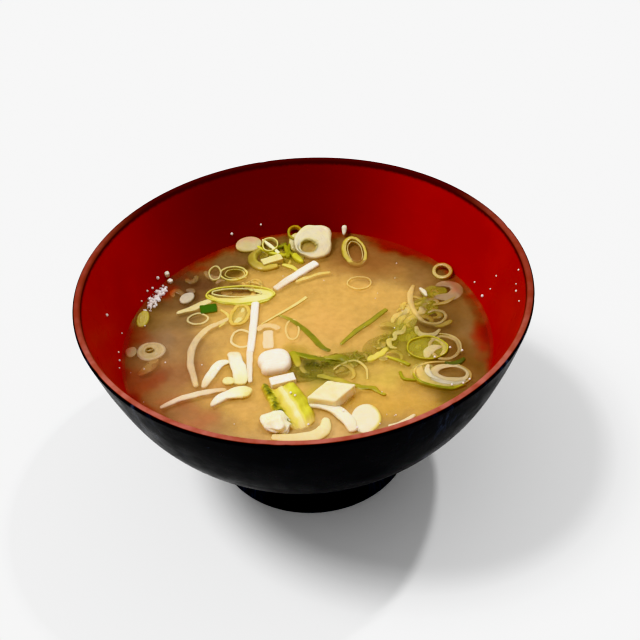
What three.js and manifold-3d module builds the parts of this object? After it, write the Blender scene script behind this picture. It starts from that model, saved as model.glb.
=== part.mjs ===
// A lacquered soup bowl holding miso soup, with tofu, mushroom and spring onion afloat in it.
// Millimetres, +Z up. The origin is the centre of the foot ring's underside.
import * as THREE from 'three';
import { mergeVertices } from 'three/addons/utils/BufferGeometryUtils.js';
import Module from 'manifold-3d';

// Driving dimensions
const rimRadius = 75;
const bowlHeight = 76.7;
const wallThickness = 2.5;
const footRadius = 35;
const footHeight = 12;
const footWall = 3.2;
const footRecess = 5;
const floorTop = 9;
const lipHeight = 1.2;
const brothLevel = 49.9;
const gap = 0.3;
const turnSegments = 48;
const sideSteps = 7;

const wasm = await Module();
wasm.setup();

// ---- solids and cuts

function toSolid(geometry) {
  const bare = geometry.clone();
  bare.deleteAttribute('normal');
  bare.deleteAttribute('uv');
  const merged = mergeVertices(bare, 1e-4);
  return new wasm.Manifold(new wasm.Mesh({
    numProp: 3,
    vertProperties: new Float32Array(merged.attributes.position.array),
    triVerts: new Uint32Array(merged.index.array),
  }));
}

function toGeometry(solid) {
  const mesh = solid.getMesh();
  const geometry = new THREE.BufferGeometry();
  geometry.setAttribute('position', new THREE.BufferAttribute(new Float32Array(mesh.vertProperties), 3));
  geometry.setIndex(new THREE.BufferAttribute(new Uint32Array(mesh.triVerts), 1));
  geometry.computeVertexNormals();
  return geometry;
}

// A lathe about Z from a profile of [radius, height] pairs that runs outwards along the underside.
function turned(profile, segments) {
  const points = profile.map(([radius, height]) => new THREE.Vector2(radius, height));
  const geometry = new THREE.LatheGeometry(points, segments);
  geometry.rotateX(Math.PI / 2);
  return geometry;
}

// An outline raised to a height and centred on Z = 0, its edges eased by a small bevel.
function raised(outline, height, bevel, curveSegments) {
  const geometry = new THREE.ExtrudeGeometry(outline, {
    depth: height - 2 * bevel,
    curveSegments,
    bevelEnabled: bevel > 0,
    bevelThickness: bevel,
    bevelSize: bevel,
    bevelOffset: -bevel,
    bevelSegments: 1,
    steps: 1,
  });
  geometry.translate(0, 0, bevel - height / 2);
  return geometry;
}

// ---- bowl and broth

// The bowl's outside, from the foot up to the lip: a cone of 45 degrees that turns up into a steep side.
const bowlSide = new THREE.SplineCurve([
  new THREE.Vector2(33.5, 12),
  new THREE.Vector2(44.6, 23.5),
  new THREE.Vector2(56, 34.8),
  new THREE.Vector2(65, 47.8),
  new THREE.Vector2(71.1, 62.6),
  new THREE.Vector2(rimRadius, bowlHeight - lipHeight),
]);

// A point of the side moved inwards along its normal.
function sidePoint(share, inset) {
  const point = bowlSide.getPointAt(share);
  const tangent = bowlSide.getTangentAt(share);
  return [point.x - tangent.y * inset, point.y + tangent.x * inset];
}

// The inside from the middle of the floor up to a height, set in from the outside by an inset.
function insideProfile(inset, topHeight) {
  const profile = [[0, floorTop + inset - wallThickness], [20, floorTop + 0.8 + inset - wallThickness]];
  for (let i = 0; i <= sideSteps; i += 1) {
    const [radius, height] = sidePoint(i / sideSteps, inset);
    if (height < topHeight) {
      profile.push([radius, height]);
    }
  }
  return profile;
}

function insideRadiusAt(height, inset) {
  let share = 0;
  while (sidePoint(share, inset)[1] < height) {
    share += 0.002;
  }
  return sidePoint(share, inset)[0];
}

function makeBowl() {
  const foot = [
    [0, footRecess],
    [footRadius - footWall - 2.5, footRecess - 0.4],
    [footRadius - footWall, footRecess - 2],
    [footRadius - footWall, 0.6],
    [footRadius - footWall + 0.5, 0],
    [footRadius - 0.7, 0],
    [footRadius, 0.8],
    [footRadius - 0.9, footHeight - 2.5],
  ];
  const side = [];
  for (let i = 0; i <= sideSteps; i += 1) {
    side.push(sidePoint(i / sideSteps, 0));
  }
  const lip = [
    [rimRadius - 0.3, bowlHeight - lipHeight / 3],
    [rimRadius - wallThickness / 2, bowlHeight],
    [rimRadius + 0.4 - wallThickness, bowlHeight - lipHeight / 3],
  ];
  const inside = insideProfile(wallThickness, bowlHeight - lipHeight / 2).reverse();
  return turned([...foot, ...side, ...lip, ...inside], turnSegments);
}

function makeBroth() {
  const profile = insideProfile(wallThickness + gap, brothLevel - 1);
  profile.push([insideRadiusAt(brothLevel, wallThickness + gap), brothLevel]);
  profile.push([0, brothLevel]);
  return turned(profile, turnSegments);
}

// ---- shapes of the toppings; each takes its sizes and how far to grow on every side

// A slice of spring onion: an oval plate with an oval hole.
function ringSlice({ radii, wall, height, hole = [0, 0] }, grow) {
  const [a, b] = radii;
  const outline = new THREE.Shape();
  outline.absellipse(0, 0, a + grow, b + grow, 0, 2 * Math.PI, false, 0);
  if (wall > 0) {
    const opening = new THREE.Path();
    opening.absellipse(hole[0], hole[1], a - wall - grow, b - wall - grow, 0, 2 * Math.PI, true, 0);
    outline.holes.push(opening);
  }
  return raised(outline, height + 2 * grow, 0, 9);
}

// A strip along a smooth path through a few places, with rounded ends.
function strip({ path, width, height, bevel = 0 }, grow) {
  const curve = new THREE.SplineCurve(path.map(([x, y]) => new THREE.Vector2(x, y)));
  const length = curve.getLength();
  const steps = Math.max(6, Math.round(length / 2.8));
  const left = [];
  const right = [];
  for (let i = 0; i <= steps; i += 1) {
    const share = i / steps;
    const point = curve.getPointAt(share);
    const tangent = curve.getTangentAt(share);
    const nearEnd = Math.abs(2 * share - 1);
    const half = (width / 2) * Math.sqrt(1 - 0.8 * nearEnd ** 16) + grow;
    const push = (nearEnd === 1 ? grow : 0) * (share > 0.5 ? 1 : -1);
    const middle = new THREE.Vector2(point.x + tangent.x * push, point.y + tangent.y * push);
    left.push(new THREE.Vector2(middle.x - tangent.y * half, middle.y + tangent.x * half));
    right.push(new THREE.Vector2(middle.x + tangent.y * half, middle.y - tangent.x * half));
  }
  const outline = new THREE.Shape([...right, ...left.reverse()]);
  return raised(outline, height + 2 * grow, grow > 0 ? 0 : bevel, 1);
}

// A square-cut block with eased edges.
function block({ size, bevel = 0.35 }, grow) {
  const [x, y] = [size[0] / 2 + grow, size[1] / 2 + grow];
  const outline = new THREE.Shape([
    new THREE.Vector2(-x, -y),
    new THREE.Vector2(x, -y),
    new THREE.Vector2(x, y),
    new THREE.Vector2(-x, y),
  ]);
  return raised(outline, size[2] + 2 * grow, grow > 0 ? 0 : bevel, 1);
}

// A mushroom cap: a low dome over a flatter underside.
function cap({ radii, height }, grow) {
  const [a, b] = radii;
  const profile = [];
  const steps = 8;
  for (let i = 0; i <= steps; i += 1) {
    const angle = Math.PI * (i / steps - 0.5);
    const rise = Math.sin(angle) * (angle > 0 ? height * 0.62 : height * 0.38);
    profile.push([(a + grow) * Math.cos(angle) ** 0.7, rise + Math.sign(angle) * grow]);
  }
  profile[0][0] = 0;
  profile[steps][0] = 0;
  const geometry = turned(profile, 16);
  geometry.scale(1, (b + grow) / (a + grow), 1);
  return geometry;
}

// A crumpled lump: a ball pushed in and out by a few waves.
function lump({ radii, roughness }, grow) {
  const ball = new THREE.IcosahedronGeometry(1, 2);
  ball.deleteAttribute('normal');
  ball.deleteAttribute('uv');
  const geometry = mergeVertices(ball, 1e-4);
  const places = geometry.attributes.position;
  const place = new THREE.Vector3();
  for (let i = 0; i < places.count; i += 1) {
    place.fromBufferAttribute(places, i).normalize();
    const wave = Math.sin(5 * place.x + 2) * Math.cos(4 * place.y + 1);
    const ripple = 0.6 * Math.sin(7 * place.z + 4 * place.x);
    const scale = 1 + roughness * (wave + ripple);
    const reach = new THREE.Vector3(...radii).multiply(place).multiplyScalar(scale);
    reach.addScaledVector(place, grow);
    places.setXYZ(i, reach.x, reach.y, reach.z);
  }
  geometry.computeVertexNormals();
  return geometry;
}

// A length of leek split open: a floor with two raised sides, like a shallow gutter.
function gutter({ length, width, depth, floor, side }, grow) {
  const half = width / 2 + grow;
  const low = -depth / 2 - grow;
  const high = depth / 2 + grow;
  const inner = width / 2 - side - grow;
  const bed = low + floor + 2 * grow;
  const section = new THREE.Shape([
    new THREE.Vector2(-half + 1, low),
    new THREE.Vector2(half - 1, low),
    new THREE.Vector2(half, low + 1),
    new THREE.Vector2(half, high),
    new THREE.Vector2(inner, high),
    new THREE.Vector2(inner - 0.8, bed),
    new THREE.Vector2(-inner + 0.8, bed),
    new THREE.Vector2(-inner, high),
    new THREE.Vector2(-half, high),
    new THREE.Vector2(-half, low + 1),
  ]);
  const geometry = raised(section, length + 2 * grow, 0, 1);
  geometry.rotateX(Math.PI / 2);
  return geometry;
}

// ---- the toppings: what each is made of, its sizes, its place on the broth and how it lies
// (at: X and Y; rise: its middle above the broth's level; pitch, then turn: degrees about X, then about Z)

const looks = {
  tofu: { color: 0xf3e2b4, roughness: 0.45 },
  mushroom: { color: 0xf7ece0, roughness: 0.35 },
  leekWhite: { color: 0xf0e8cf, roughness: 0.3 },
  leekGreen: { color: 0xc3c640, roughness: 0.3 },
  leekRim: { color: 0xb3b04a, roughness: 0.3 },
  greenShred: { color: 0x7d8c10, roughness: 0.35 },
};

const toppings = [
  { name: 'tofu_cube', look: 'tofu', form: block, at: [7.2, -29.3], rise: 0.8, turn: 60,
    size: { size: [9.8, 8.8, 6] } },
  { name: 'mushroom_cap', look: 'mushroom', form: cap, at: [-11.4, -11.6], rise: 0.5, turn: 10,
    size: { radii: [5.6, 5.8], height: 6 } },
  { name: 'mushroom_slab', look: 'mushroom', form: block, at: [-8.5, -20.5], rise: 0.2, turn: 12,
    size: { size: [8.2, 4, 3] } },
  { name: 'mushroom_stem_long', look: 'mushroom', form: strip, rise: 0.5,
    size: { width: 2.6, height: 2.4, bevel: 0.6,
      path: [[-17.9, 20.4], [-18.2, 12], [-19, 4], [-19.6, -4.6]] } },
  { name: 'mushroom_stem_back', look: 'mushroom', form: strip, rise: 0.5,
    size: { width: 3, height: 2.6, bevel: 0.6, path: [[4.8, 42.8], [-3.2, 35.8], [-10.6, 28.6]] } },
  { name: 'sprout_stem_left', look: 'leekWhite', form: strip, rise: 0,
    size: { width: 2.4, height: 2,
      path: [[-28.4, 14.6], [-35, 8.6], [-39, 0.4], [-39.6, -9.8], [-37.6, -18]] } },
  { name: 'leek_gutter', look: 'leekGreen', form: gutter, at: [-5.2, -33.9], rise: 0.4, turn: 22, pitch: -3,
    size: { length: 19.4, width: 9.8, depth: 4.4, floor: 1.6, side: 2.2 } },
  { name: 'leek_lump', look: 'leekWhite', form: lump, at: [-12.4, -39.2], rise: 0.5, turn: 20,
    size: { radii: [3.3, 4.5, 2.6], roughness: 0.08 } },
  { name: 'leek_arc_front', look: 'leekWhite', form: strip, rise: 0.2,
    size: { width: 2.8, height: 2.6,
      path: [[-12.6, -45.9], [-6, -47.6], [0.4, -47], [4.9, -43], [6.2, -38.6]] } },
  { name: 'leek_arc_middle', look: 'leekWhite', form: strip, rise: 0.9,
    size: { width: 2.2, height: 2.6,
      path: [[1.4, -34.4], [5, -35.8], [8.8, -38.2], [12.2, -42.4], [13.4, -46.6]] } },
  { name: 'leek_slice_front', look: 'leekWhite', form: ringSlice, at: [19, -39.8], rise: 0.1, turn: -12,
    size: { radii: [4.9, 6.3], wall: 0, height: 2.4 } },
  { name: 'leek_hook_left', look: 'leekWhite', form: strip, rise: 0.4,
    size: { width: 4.2, height: 2.4,
      path: [[-25.2, -4.8], [-23.7, -9], [-22.7, -13.6], [-22.6, -19]] } },
  { name: 'leek_arc_left', look: 'leekWhite', form: strip, rise: 0.3,
    size: { width: 2.7, height: 2.2, path: [[-27.4, -9], [-31, -11.6], [-33.8, -16], [-34.9, -20.2]] } },
  { name: 'leek_arc_low', look: 'leekWhite', form: strip, rise: 0.3,
    size: { width: 4, height: 2.4,
      path: [[-18.8, -24.6], [-23, -24.1], [-27.4, -25.9], [-31.4, -29.4]] } },
  { name: 'leek_oval_left', look: 'leekGreen', form: ringSlice, at: [-23.5, 26.6], rise: 0.1, turn: -7,
    size: { radii: [12.8, 4.9], wall: 2.4, height: 2.2, hole: [0, 1.1] } },
  { name: 'leek_ring_left', look: 'leekRim', form: ringSlice, at: [-23.9, 14.4], rise: 0.1, turn: -24,
    size: { radii: [3.6, 5.8], wall: 0, height: 2 } },
  { name: 'leek_ring_far_left', look: 'leekWhite', form: ringSlice, at: [-26.4, 39.4], rise: 0.1, turn: -24,
    size: { radii: [5.4, 4.1], wall: 1.2, height: 2 } },
  { name: 'leek_ring_soft', look: 'leekWhite', form: ringSlice, at: [-53.2, -1.9], rise: 0.1, turn: 0,
    size: { radii: [5, 5], wall: 0, height: 2.2 } },
  { name: 'leek_slice_back_left', look: 'leekWhite', form: ringSlice, at: [-20.4, 55.8], rise: 1.4,
    turn: 20, pitch: 22,
    size: { radii: [4, 4], wall: 0, height: 1.8 } },
  { name: 'leek_curl_back', look: 'leekGreen', form: strip, rise: 0.3,
    size: { width: 2.8, height: 2.6,
      path: [[-16.2, 50.6], [-19.6, 47.4], [-18.8, 43.4], [-14.4, 40.6], [-9.4, 41.2]] } },
  { name: 'leek_slab_back', look: 'leekWhite', form: block, at: [-11.3, 46], rise: 0.2, turn: 26,
    size: { size: [7.6, 3.4, 3] } },
  { name: 'leek_stump_back', look: 'leekWhite', form: ringSlice, at: [3.7, 53.4], rise: 2,
    turn: 0, pitch: 24,
    size: { radii: [7.2, 7.6], wall: 3.8, height: 3, hole: [-1.6, -1.6] } },
  { name: 'leek_ring_back_right', look: 'leekRim', form: ringSlice, at: [19.3, 48], rise: 0.6,
    turn: 8, pitch: 14,
    size: { radii: [4.7, 7.2], wall: 1.6, height: 2.2 } },
  { name: 'leek_ring_right_back', look: 'leekWhite', form: ringSlice, at: [50.3, 32.2], rise: 1.4,
    turn: -56, pitch: 20,
    size: { radii: [3.9, 3.6], wall: 1.6, height: 2.2 } },
  { name: 'leek_crescent_right', look: 'leekWhite', form: strip, rise: 0.1,
    size: { width: 2.8, height: 2.2,
      path: [[47.4, 24.9], [50.8, 25.6], [53.6, 24.2], [53.8, 21.4], [51, 19.4], [46.4, 19.2]] } },
  { name: 'leek_loop_right', look: 'leekWhite', form: strip, rise: 0,
    size: { width: 1.8, height: 2,
      path: [[39.4, 27], [37.6, 19], [39.4, 10.8], [43.6, 4.8], [48.4, 6.8], [46.6, 11.2]] } },
  { name: 'leek_ring_right', look: 'leekRim', form: ringSlice, at: [40.2, -8.4], rise: 0.1, turn: -8,
    size: { radii: [6.9, 5.7], wall: 1.1, height: 2 } },
  { name: 'leek_arc_right', look: 'leekWhite', form: strip, rise: 0,
    size: { width: 1.4, height: 2, path: [[44.4, -0.9], [48.8, -2.2], [51.4, -6.4], [50.8, -11.2]] } },
  { name: 'leek_ring_front_right', look: 'leekRim', form: ringSlice, at: [43.7, -21.4], rise: 0.1,
    turn: -20,
    size: { radii: [9.8, 6.5], wall: 2.6, height: 2.4, hole: [1.6, 0.6] } },
  { name: 'leek_slab_right', look: 'leekGreen', form: strip, rise: 0.2,
    size: { width: 2.8, height: 1.8, path: [[19.6, -12.6], [23.6, -10.6], [28, -6.4]] } },
  { name: 'green_shred_middle', look: 'greenShred', form: strip, rise: 0.1,
    size: { width: 1.8, height: 1.6, path: [[-10.2, 14.6], [-4.8, 10.2], [1.4, 0.4], [5.4, -5.6]] } },
  { name: 'green_shred_right', look: 'greenShred', form: strip, rise: 0.1,
    size: { width: 1.8, height: 1.6, path: [[28.8, 14.2], [22.6, 8], [16.8, 2.8], [11.3, -3.6]] } },
  { name: 'green_shred_front', look: 'greenShred', form: strip, rise: 0.1,
    size: { width: 2.4, height: 1.6, path: [[-4.6, -6.2], [0.6, -8.6], [6.6, -11.2], [13.4, -12]] } },
];

function degrees(value = 0) {
  return THREE.MathUtils.degToRad(value);
}

function restingPlace({ at = [0, 0], rise, turn, pitch }) {
  const place = new THREE.Object3D();
  place.rotation.set(degrees(pitch), 0, degrees(turn), 'ZYX');
  place.position.set(at[0], at[1], brothLevel + rise);
  place.updateMatrix();
  return place;
}

// The broth with a pocket for each topping, a gap wider than it on every side.
function pocketedBroth() {
  let solid = toSolid(makeBroth());
  for (const topping of toppings) {
    const grown = topping.form(topping.size, gap);
    grown.applyMatrix4(restingPlace(topping).matrix);
    solid = solid.subtract(toSolid(grown));
  }
  return toGeometry(solid);
}

// ---- the whole

function piece(name, geometry, look) {
  const mesh = new THREE.Mesh(geometry, new THREE.MeshStandardMaterial({ metalness: 0, ...look }));
  mesh.name = name;
  return mesh;
}

const soup = new THREE.Group();
soup.add(piece('bowl', makeBowl(), { color: 0x7c0a04, roughness: 0.25 }));
soup.add(piece('broth', pocketedBroth(), { color: 0xd8b060, roughness: 0.15 }));
for (const topping of toppings) {
  const mesh = piece(topping.name, topping.form(topping.size, 0), looks[topping.look]);
  const place = restingPlace(topping);
  mesh.position.copy(place.position);
  mesh.rotation.copy(place.rotation);
  soup.add(mesh);
}

export default soup;
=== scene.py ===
import math

import bmesh
import bpy
import numpy as np
from mathutils import Matrix, Vector


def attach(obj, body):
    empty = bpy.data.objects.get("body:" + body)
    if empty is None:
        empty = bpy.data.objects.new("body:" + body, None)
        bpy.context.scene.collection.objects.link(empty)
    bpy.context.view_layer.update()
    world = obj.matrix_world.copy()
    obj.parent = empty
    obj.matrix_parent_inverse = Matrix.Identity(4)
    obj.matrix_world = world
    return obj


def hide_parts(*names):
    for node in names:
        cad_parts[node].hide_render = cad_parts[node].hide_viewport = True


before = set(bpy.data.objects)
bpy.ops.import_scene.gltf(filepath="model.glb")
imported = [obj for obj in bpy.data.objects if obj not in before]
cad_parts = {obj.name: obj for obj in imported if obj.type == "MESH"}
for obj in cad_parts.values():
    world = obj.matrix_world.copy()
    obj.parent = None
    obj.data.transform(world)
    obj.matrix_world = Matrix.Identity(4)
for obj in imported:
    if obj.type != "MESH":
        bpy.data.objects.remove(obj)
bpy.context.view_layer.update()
mm = 0.001  # every dictionary below is in millimetres and degrees


# ---- camera, light and floor

view = {
    "lens": 61.875,
    "sensor": 36,
    "target": (4.95, 0, 58.65),
    "distance": 372.4,
    "elevation": 40.1,
    "roll": -3.35,
}

studio = {
    # where each lamp shines from, how many degrees wide it looks, and its strength
    "lamps": {
        "wideLamp": ((-0.574, 0, 1), 20, 2.25),
        "smallLamp": ((0.456, 0.326, 1), 3, 0.97),
    },
    "sky": 0.56,
    "floor": ((249, 249, 249), (252, 252, 252)),
    "floorSize": 3000,
}


def makeCamera():
    # looks along +Y from above the front, tipped a little about its own axis
    elevation, roll = math.radians(view["elevation"]), math.radians(view["roll"])
    ahead = Vector((0, math.cos(elevation), -math.sin(elevation)))
    right = Vector((1, 0, 0))
    up = right.cross(ahead)
    across = right * math.cos(roll) + up * math.sin(roll)
    upright = up * math.cos(roll) - right * math.sin(roll)
    place = Matrix((across, upright, -ahead)).transposed().to_4x4()
    place.translation = (Vector(view["target"]) - ahead * view["distance"]) * mm
    data = bpy.data.cameras.new("soupCamera")
    data.lens = view["lens"]
    data.sensor_width = view["sensor"]
    data.clip_start = 0.01
    camera = bpy.data.objects.new("soupCamera", data)
    camera.matrix_world = place
    bpy.context.scene.collection.objects.link(camera)
    bpy.context.scene.camera = camera


def makeLight():
    # a soft lamp from the left, a small one from behind at the right, and an even white sky
    for name, (source, width, strength) in studio["lamps"].items():
        data = bpy.data.lights.new(name, "SUN")
        data.energy = strength
        data.angle = math.radians(width)
        lamp = bpy.data.objects.new(name, data)
        lamp.rotation_euler = Vector(source).to_track_quat("Z", "Y").to_euler()
        bpy.context.scene.collection.objects.link(lamp)
    world = bpy.data.worlds.new("studioSky")
    world.use_nodes = True
    sky = world.node_tree.nodes["Background"].inputs
    sky["Color"].default_value = (1, 1, 1, 1)
    sky["Strength"].default_value = studio["sky"]
    bpy.context.scene.world = world
    bpy.context.scene.view_settings.view_transform = "Khronos PBR Neutral"


makeCamera()
makeLight()
print("camera and light made")


# ---- shapes: each part is a dictionary of arrays, points in millimetres

def waves(points, size, seed):
    # a smooth random field near -1 to 1: sines of about one wavelength, summed over random directions
    rng = np.random.default_rng(seed)
    directions = unit(rng.normal(size=(9, 3)))
    pitch = 2 * np.pi / (size * rng.uniform(0.6, 1.6, 9))
    return np.sin(points @ (directions * pitch[:, None]).T + rng.uniform(0, 2 * np.pi, 9)).sum(-1) / 3


def smoothStep(low, high, value):
    # 0 below low, 1 above high, and the cubic 3t^2 - 2t^3 between
    t = np.clip((value - low) / (high - low), 0, 1)
    return t * t * (3 - 2 * t)


def unit(vectors):
    return vectors / np.linalg.norm(vectors, axis=1)[:, None]


def bearings(count):
    return 2 * np.pi * np.arange(count) / count


def spread(values, share):
    # one number, or a few set evenly along the piece
    values = np.atleast_1d(np.asarray(values, float))
    return np.interp(share, np.linspace(0, 1, len(values)), values)


def smoothPath(places, steps, closed=False):
    # Catmull-Rom cubics through the places, then points at even steps of the curve's length
    p = np.array(places, float)
    padded = np.vstack([p[-1:], p, p[:2]]) if closed else np.vstack([p[:1], p, p[-1:]])
    t = np.linspace(0, len(padded) - 3, 40 * (len(padded) - 3) + 1)
    i = np.minimum(t.astype(int), len(padded) - 4)
    u = (t - i)[:, None]
    a, b, c, d = (padded[i + k] for k in range(4))
    curve = b + 0.5 * u * (c - a + u * (2 * a - 5 * b + 4 * c - d + u * (3 * (b - c) + d - a)))
    run = np.concatenate([[0], np.cumsum(np.linalg.norm(np.diff(curve, axis=0), axis=1))])
    if steps < 1:
        steps = max(20, int(run[-1] / -steps))  # a negative number of steps is their length
    even = np.linspace(0, run[-1], steps, endpoint=not closed)
    return np.stack([np.interp(even, run, curve[:, k]) for k in range(p.shape[1])], 1), run[-1]


def gridFaces(rows, columns, loop=False):
    # the cells of a grid whose columns close on themselves; its rows close too in a loop
    row = np.arange(rows if loop else rows - 1)[:, None]
    column = np.arange(columns)[None]
    nextRow = (row + 1) % rows
    nextColumn = (column + 1) % columns
    corners = [row * columns + column, row * columns + nextColumn,
               nextRow * columns + nextColumn, nextRow * columns + column]
    return np.stack(np.broadcast_arrays(*corners), -1).reshape(-1, 4)


def part(points, faces, form=(0, 0, 0), green=0, sunk=0):
    # form holds lengths along and across the piece; tint holds greenness, how sunk it is, and 1 for emerald
    def overAll(values):
        size = points.shape[:-1]
        return np.stack([np.broadcast_to(v, size) for v in values], -1).reshape(-1, 3).astype(float)
    tint = overAll((green, sunk, 0))
    return {"points": points.reshape(-1, 3), "faces": faces, "form": overAll(form), "tint": tint}


def turned(profile, segments):
    # the profile's radius and height carried round Z: x = r cos a, y = r sin a, z = h
    angle = bearings(segments)
    radius, height = profile[:, :1], profile[:, 1:]
    return np.stack(np.broadcast_arrays(radius * np.cos(angle), radius * np.sin(angle), height), -1)


def strand(path, width, height, rise=0, green=0, sunk=0, seed=1, lean=0, edge=None, inner=None, closed=False,
           ends=1, square=0.6, grooves=0, wander=0.12, uneven=0.05, step=0.35, around=20):
    # a section carried along a smooth path: its outline is the flattened circle
    # (sign(cos v)|cos v|^square, sign(sin v)|sin v|^square), it shrinks at open ends as a quarter circle
    # does, and leans about the path; grooves are shallow cosine furrows along its top
    line, length = smoothPath(path, -step, closed)
    if line.shape[1] == 2:
        line = np.column_stack([line, np.zeros(len(line))])
    steps = len(line)
    share = np.arange(steps) / (steps if closed else steps - 1)
    line[:, 0] += wander * waves(line, 9, seed)
    line[:, 1] += wander * waves(line, 9, seed + 1)
    line[:, 2] += spread(rise, share) + 0.5 * wander * waves(line, 7, seed + 2)
    ahead = unit(np.roll(line, -1, 0) - np.roll(line, 1, 0) if closed else np.gradient(line, axis=0))
    side = unit(np.cross(ahead, (0, 0, 1)))
    upward = np.cross(side, ahead)
    angle = np.radians(spread(lean, share))[:, None]
    c, s = np.cos(angle), np.sin(angle)
    side, upward = side * c + upward * s, upward * c - side * s
    v = 2 * np.pi * (np.arange(around) + 0.5) / around
    outward = np.sign(np.cos(v)) * np.abs(np.cos(v)) ** square
    top = np.sign(np.sin(v)) * np.abs(np.sin(v)) ** square
    near = np.full(steps, 1.0)
    if not closed:
        reach = np.minimum(share, 1 - share) * length / (0.5 * ends * np.mean(width))
        near = np.sqrt(1 - (1 - np.clip(reach, 0, 1)) ** 2)
    wide = (spread(width, share) * near)[:, None] / 2
    tall = (spread(height, share) * near)[:, None] / 2
    furrow = 0.1 * np.cos(np.pi * grooves * outward) * np.clip(top, 0, 1) if grooves else 0
    rough = 1 + uneven * waves(line[:, None] + 2 * np.stack([outward, top, top], -1), 4, seed + 3)
    points = (line[:, None] + side[:, None] * (outward * wide * rough)[..., None]
              + upward[:, None] * (top * tall * rough + furrow * near[:, None])[..., None])
    greenness = spread(green, share)[:, None] + 0 * outward
    for own, way in ((edge, outward), (inner, -outward)):  # the outer and the inner side's own greenness
        if own is not None:
            greenness = greenness + (spread(own, share)[:, None] - greenness) * smoothStep(0.35, 0.85, way)
    form = (share[:, None] * length, outward * wide, top)
    return part(points, gridFaces(steps, around, closed), form, greenness, spread(sunk, share)[:, None])


def ellipse(radii, count, centre, wobble, seed):
    # places round an oval, pushed in and out by a random share of its radii
    angle = bearings(count)
    push = 1 + wobble * np.random.default_rng(seed).uniform(-1, 1, count)
    return np.stack([centre[0] + radii[0] * push * np.cos(angle),
                     centre[1] + radii[1] * push * np.sin(angle)], 1)


def ring(radii, wall, height, green, sunk, seed, hole=(0, 0), wobble=0.02, **finish):
    # a strand halfway between an outer oval and the hole's, as wide as the gap between them
    outer = ellipse(radii, 24, (0, 0), wobble, seed)
    inside = ellipse((radii[0] - wall, radii[1] - wall), 24, hole, wobble, seed)
    gap = np.linalg.norm(outer - inside, axis=1)
    middle, width = (outer + inside) / 2, np.append(gap, gap[0])
    return strand(middle, width, height, green=green, sunk=sunk, seed=seed, closed=True, **finish)


def plate(radii, height, layers, ridge=0.07, dome=0.2, green=0, edge=None, edgeFrom=None, sunk=0, seed=1):
    # a round slice: flat top with cosine ridges for its layers, eased rim, turned and stretched to an oval
    segments = 64
    half = height / 2
    share = np.linspace(0, 1, 26)
    top = np.column_stack([share * (1 - half * 0.6 / radii[0]), half * (1 - dome * share ** 4)
                           + ridge * np.cos(2 * np.pi * layers * share) * (share < 0.97)])
    v = np.linspace(0.3, np.pi / 2 + 1, 8)[1:]
    rim = np.column_stack([1 - half * 0.6 / radii[0] * (1 - np.sin(v)), half * (1 - dome) * np.cos(v)])
    profile = np.vstack([top, rim, [(0.6, -half), (0, -half)]])
    points = turned(profile, segments)
    distance, angle = profile[:, :1], bearings(segments)
    points *= (radii[0], radii[1], 1)
    rough = 1 + 0.035 * waves(points, 9, seed)
    points[..., :2] *= rough[..., None]
    points[..., 2] += 0.12 * waves(points, 5, seed + 1) * distance
    greenness = green + 0 * points[..., 0]
    if edge is not None:
        reach = smoothStep(0.72, 0.97, distance)
        if edgeFrom is not None:  # only round one side
            reach = reach * smoothStep(0.1, 0.7, np.cos(angle - math.radians(edgeFrom)))
        greenness = greenness + (edge - greenness) * reach
    form = (distance * angle * radii[0], distance * radii[0], profile[:, 1:] / half)
    return part(points, gridFaces(len(profile), segments), form, greenness, sunk)


def roundedBox(size, ease, cells, uneven, seed):
    # a cube's grid q held inside the smaller box, then pushed out by ease: p + ease (q - p) / |q - p|
    half = np.array(size) / 2
    t = np.linspace(-1, 1, cells + 1)
    a, b = np.meshgrid(t, t, indexing="ij")
    one = np.ones_like(a)
    sides = [(a, b, one), (b, a, -one), (one, a, b), (-one, b, a), (b, one, a), (a, -one, b)]
    cube = np.stack([np.stack(side, -1) for side in sides])
    grown = cube * half
    held = np.clip(grown, ease - half, half - ease)
    away = grown - held
    distance = np.linalg.norm(away, axis=-1, keepdims=True)
    points = np.where(distance > 1e-9, held + ease * away / np.maximum(distance, 1e-9), grown)
    outward = cube / np.linalg.norm(cube, axis=-1)[..., None]
    points = points + (uneven * waves(points, 3.2, seed))[..., None] * outward
    n = cells + 1
    row, column = np.meshgrid(np.arange(cells), np.arange(cells), indexing="ij")
    corner = (row * n + column).reshape(-1, 1)
    oneSide = np.hstack([corner, corner + n, corner + n + 1, corner + 1])
    faces = np.vstack([oneSide + k * n * n for k in range(6)])
    return part(points, faces, (points[..., 0], points[..., 1], points[..., 2] / half[2]))


def place(piece, at=(0, 0), rise=0, turn=0, pitch=0):
    # turned about X by pitch and about Z by turn, then set on the broth's level
    p, t = math.radians(pitch), math.radians(turn)
    tip = np.array([[1, 0, 0], [0, math.cos(p), -math.sin(p)], [0, math.sin(p), math.cos(p)]])
    spin = np.array([[math.cos(t), -math.sin(t), 0], [math.sin(t), math.cos(t), 0], [0, 0, 1]])
    moved = piece["points"] @ (spin @ tip).T + np.array([at[0], at[1], brothLevel + rise])
    return {**piece, "points": moved}


def placeBy(piece, made):
    return place(piece, made["at"], made["rise"], made.get("turn", 0), made.get("pitch", 0))


def joined(parts):
    # the arrays of several parts, one after the other
    starts = np.cumsum([0] + [len(p["points"]) for p in parts[:-1]])
    faces = np.vstack([p["faces"] + start for p, start in zip(parts, starts)])
    return {"faces": faces, **{k: np.vstack([p[k] for p in parts]) for k in ("points", "form", "tint")}}


def unitBall(rows, columns):
    # x = sin v cos a, y = sin v sin a, z = cos v
    v = np.linspace(0, np.pi, rows)[:, None]
    angle = bearings(columns)
    return np.stack(np.broadcast_arrays(np.sin(v) * np.cos(angle), np.sin(v) * np.sin(angle), np.cos(v)), 2)


# painted shade and bounce light: how far the sides of each kind of piece take up the broth's colour
paintedSideShade = {"leek_white": 0.5, "leek_green": 0.2, "leek_rim": 0.4, "green_shred": 0.2, "mushroom": 0.4}


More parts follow.
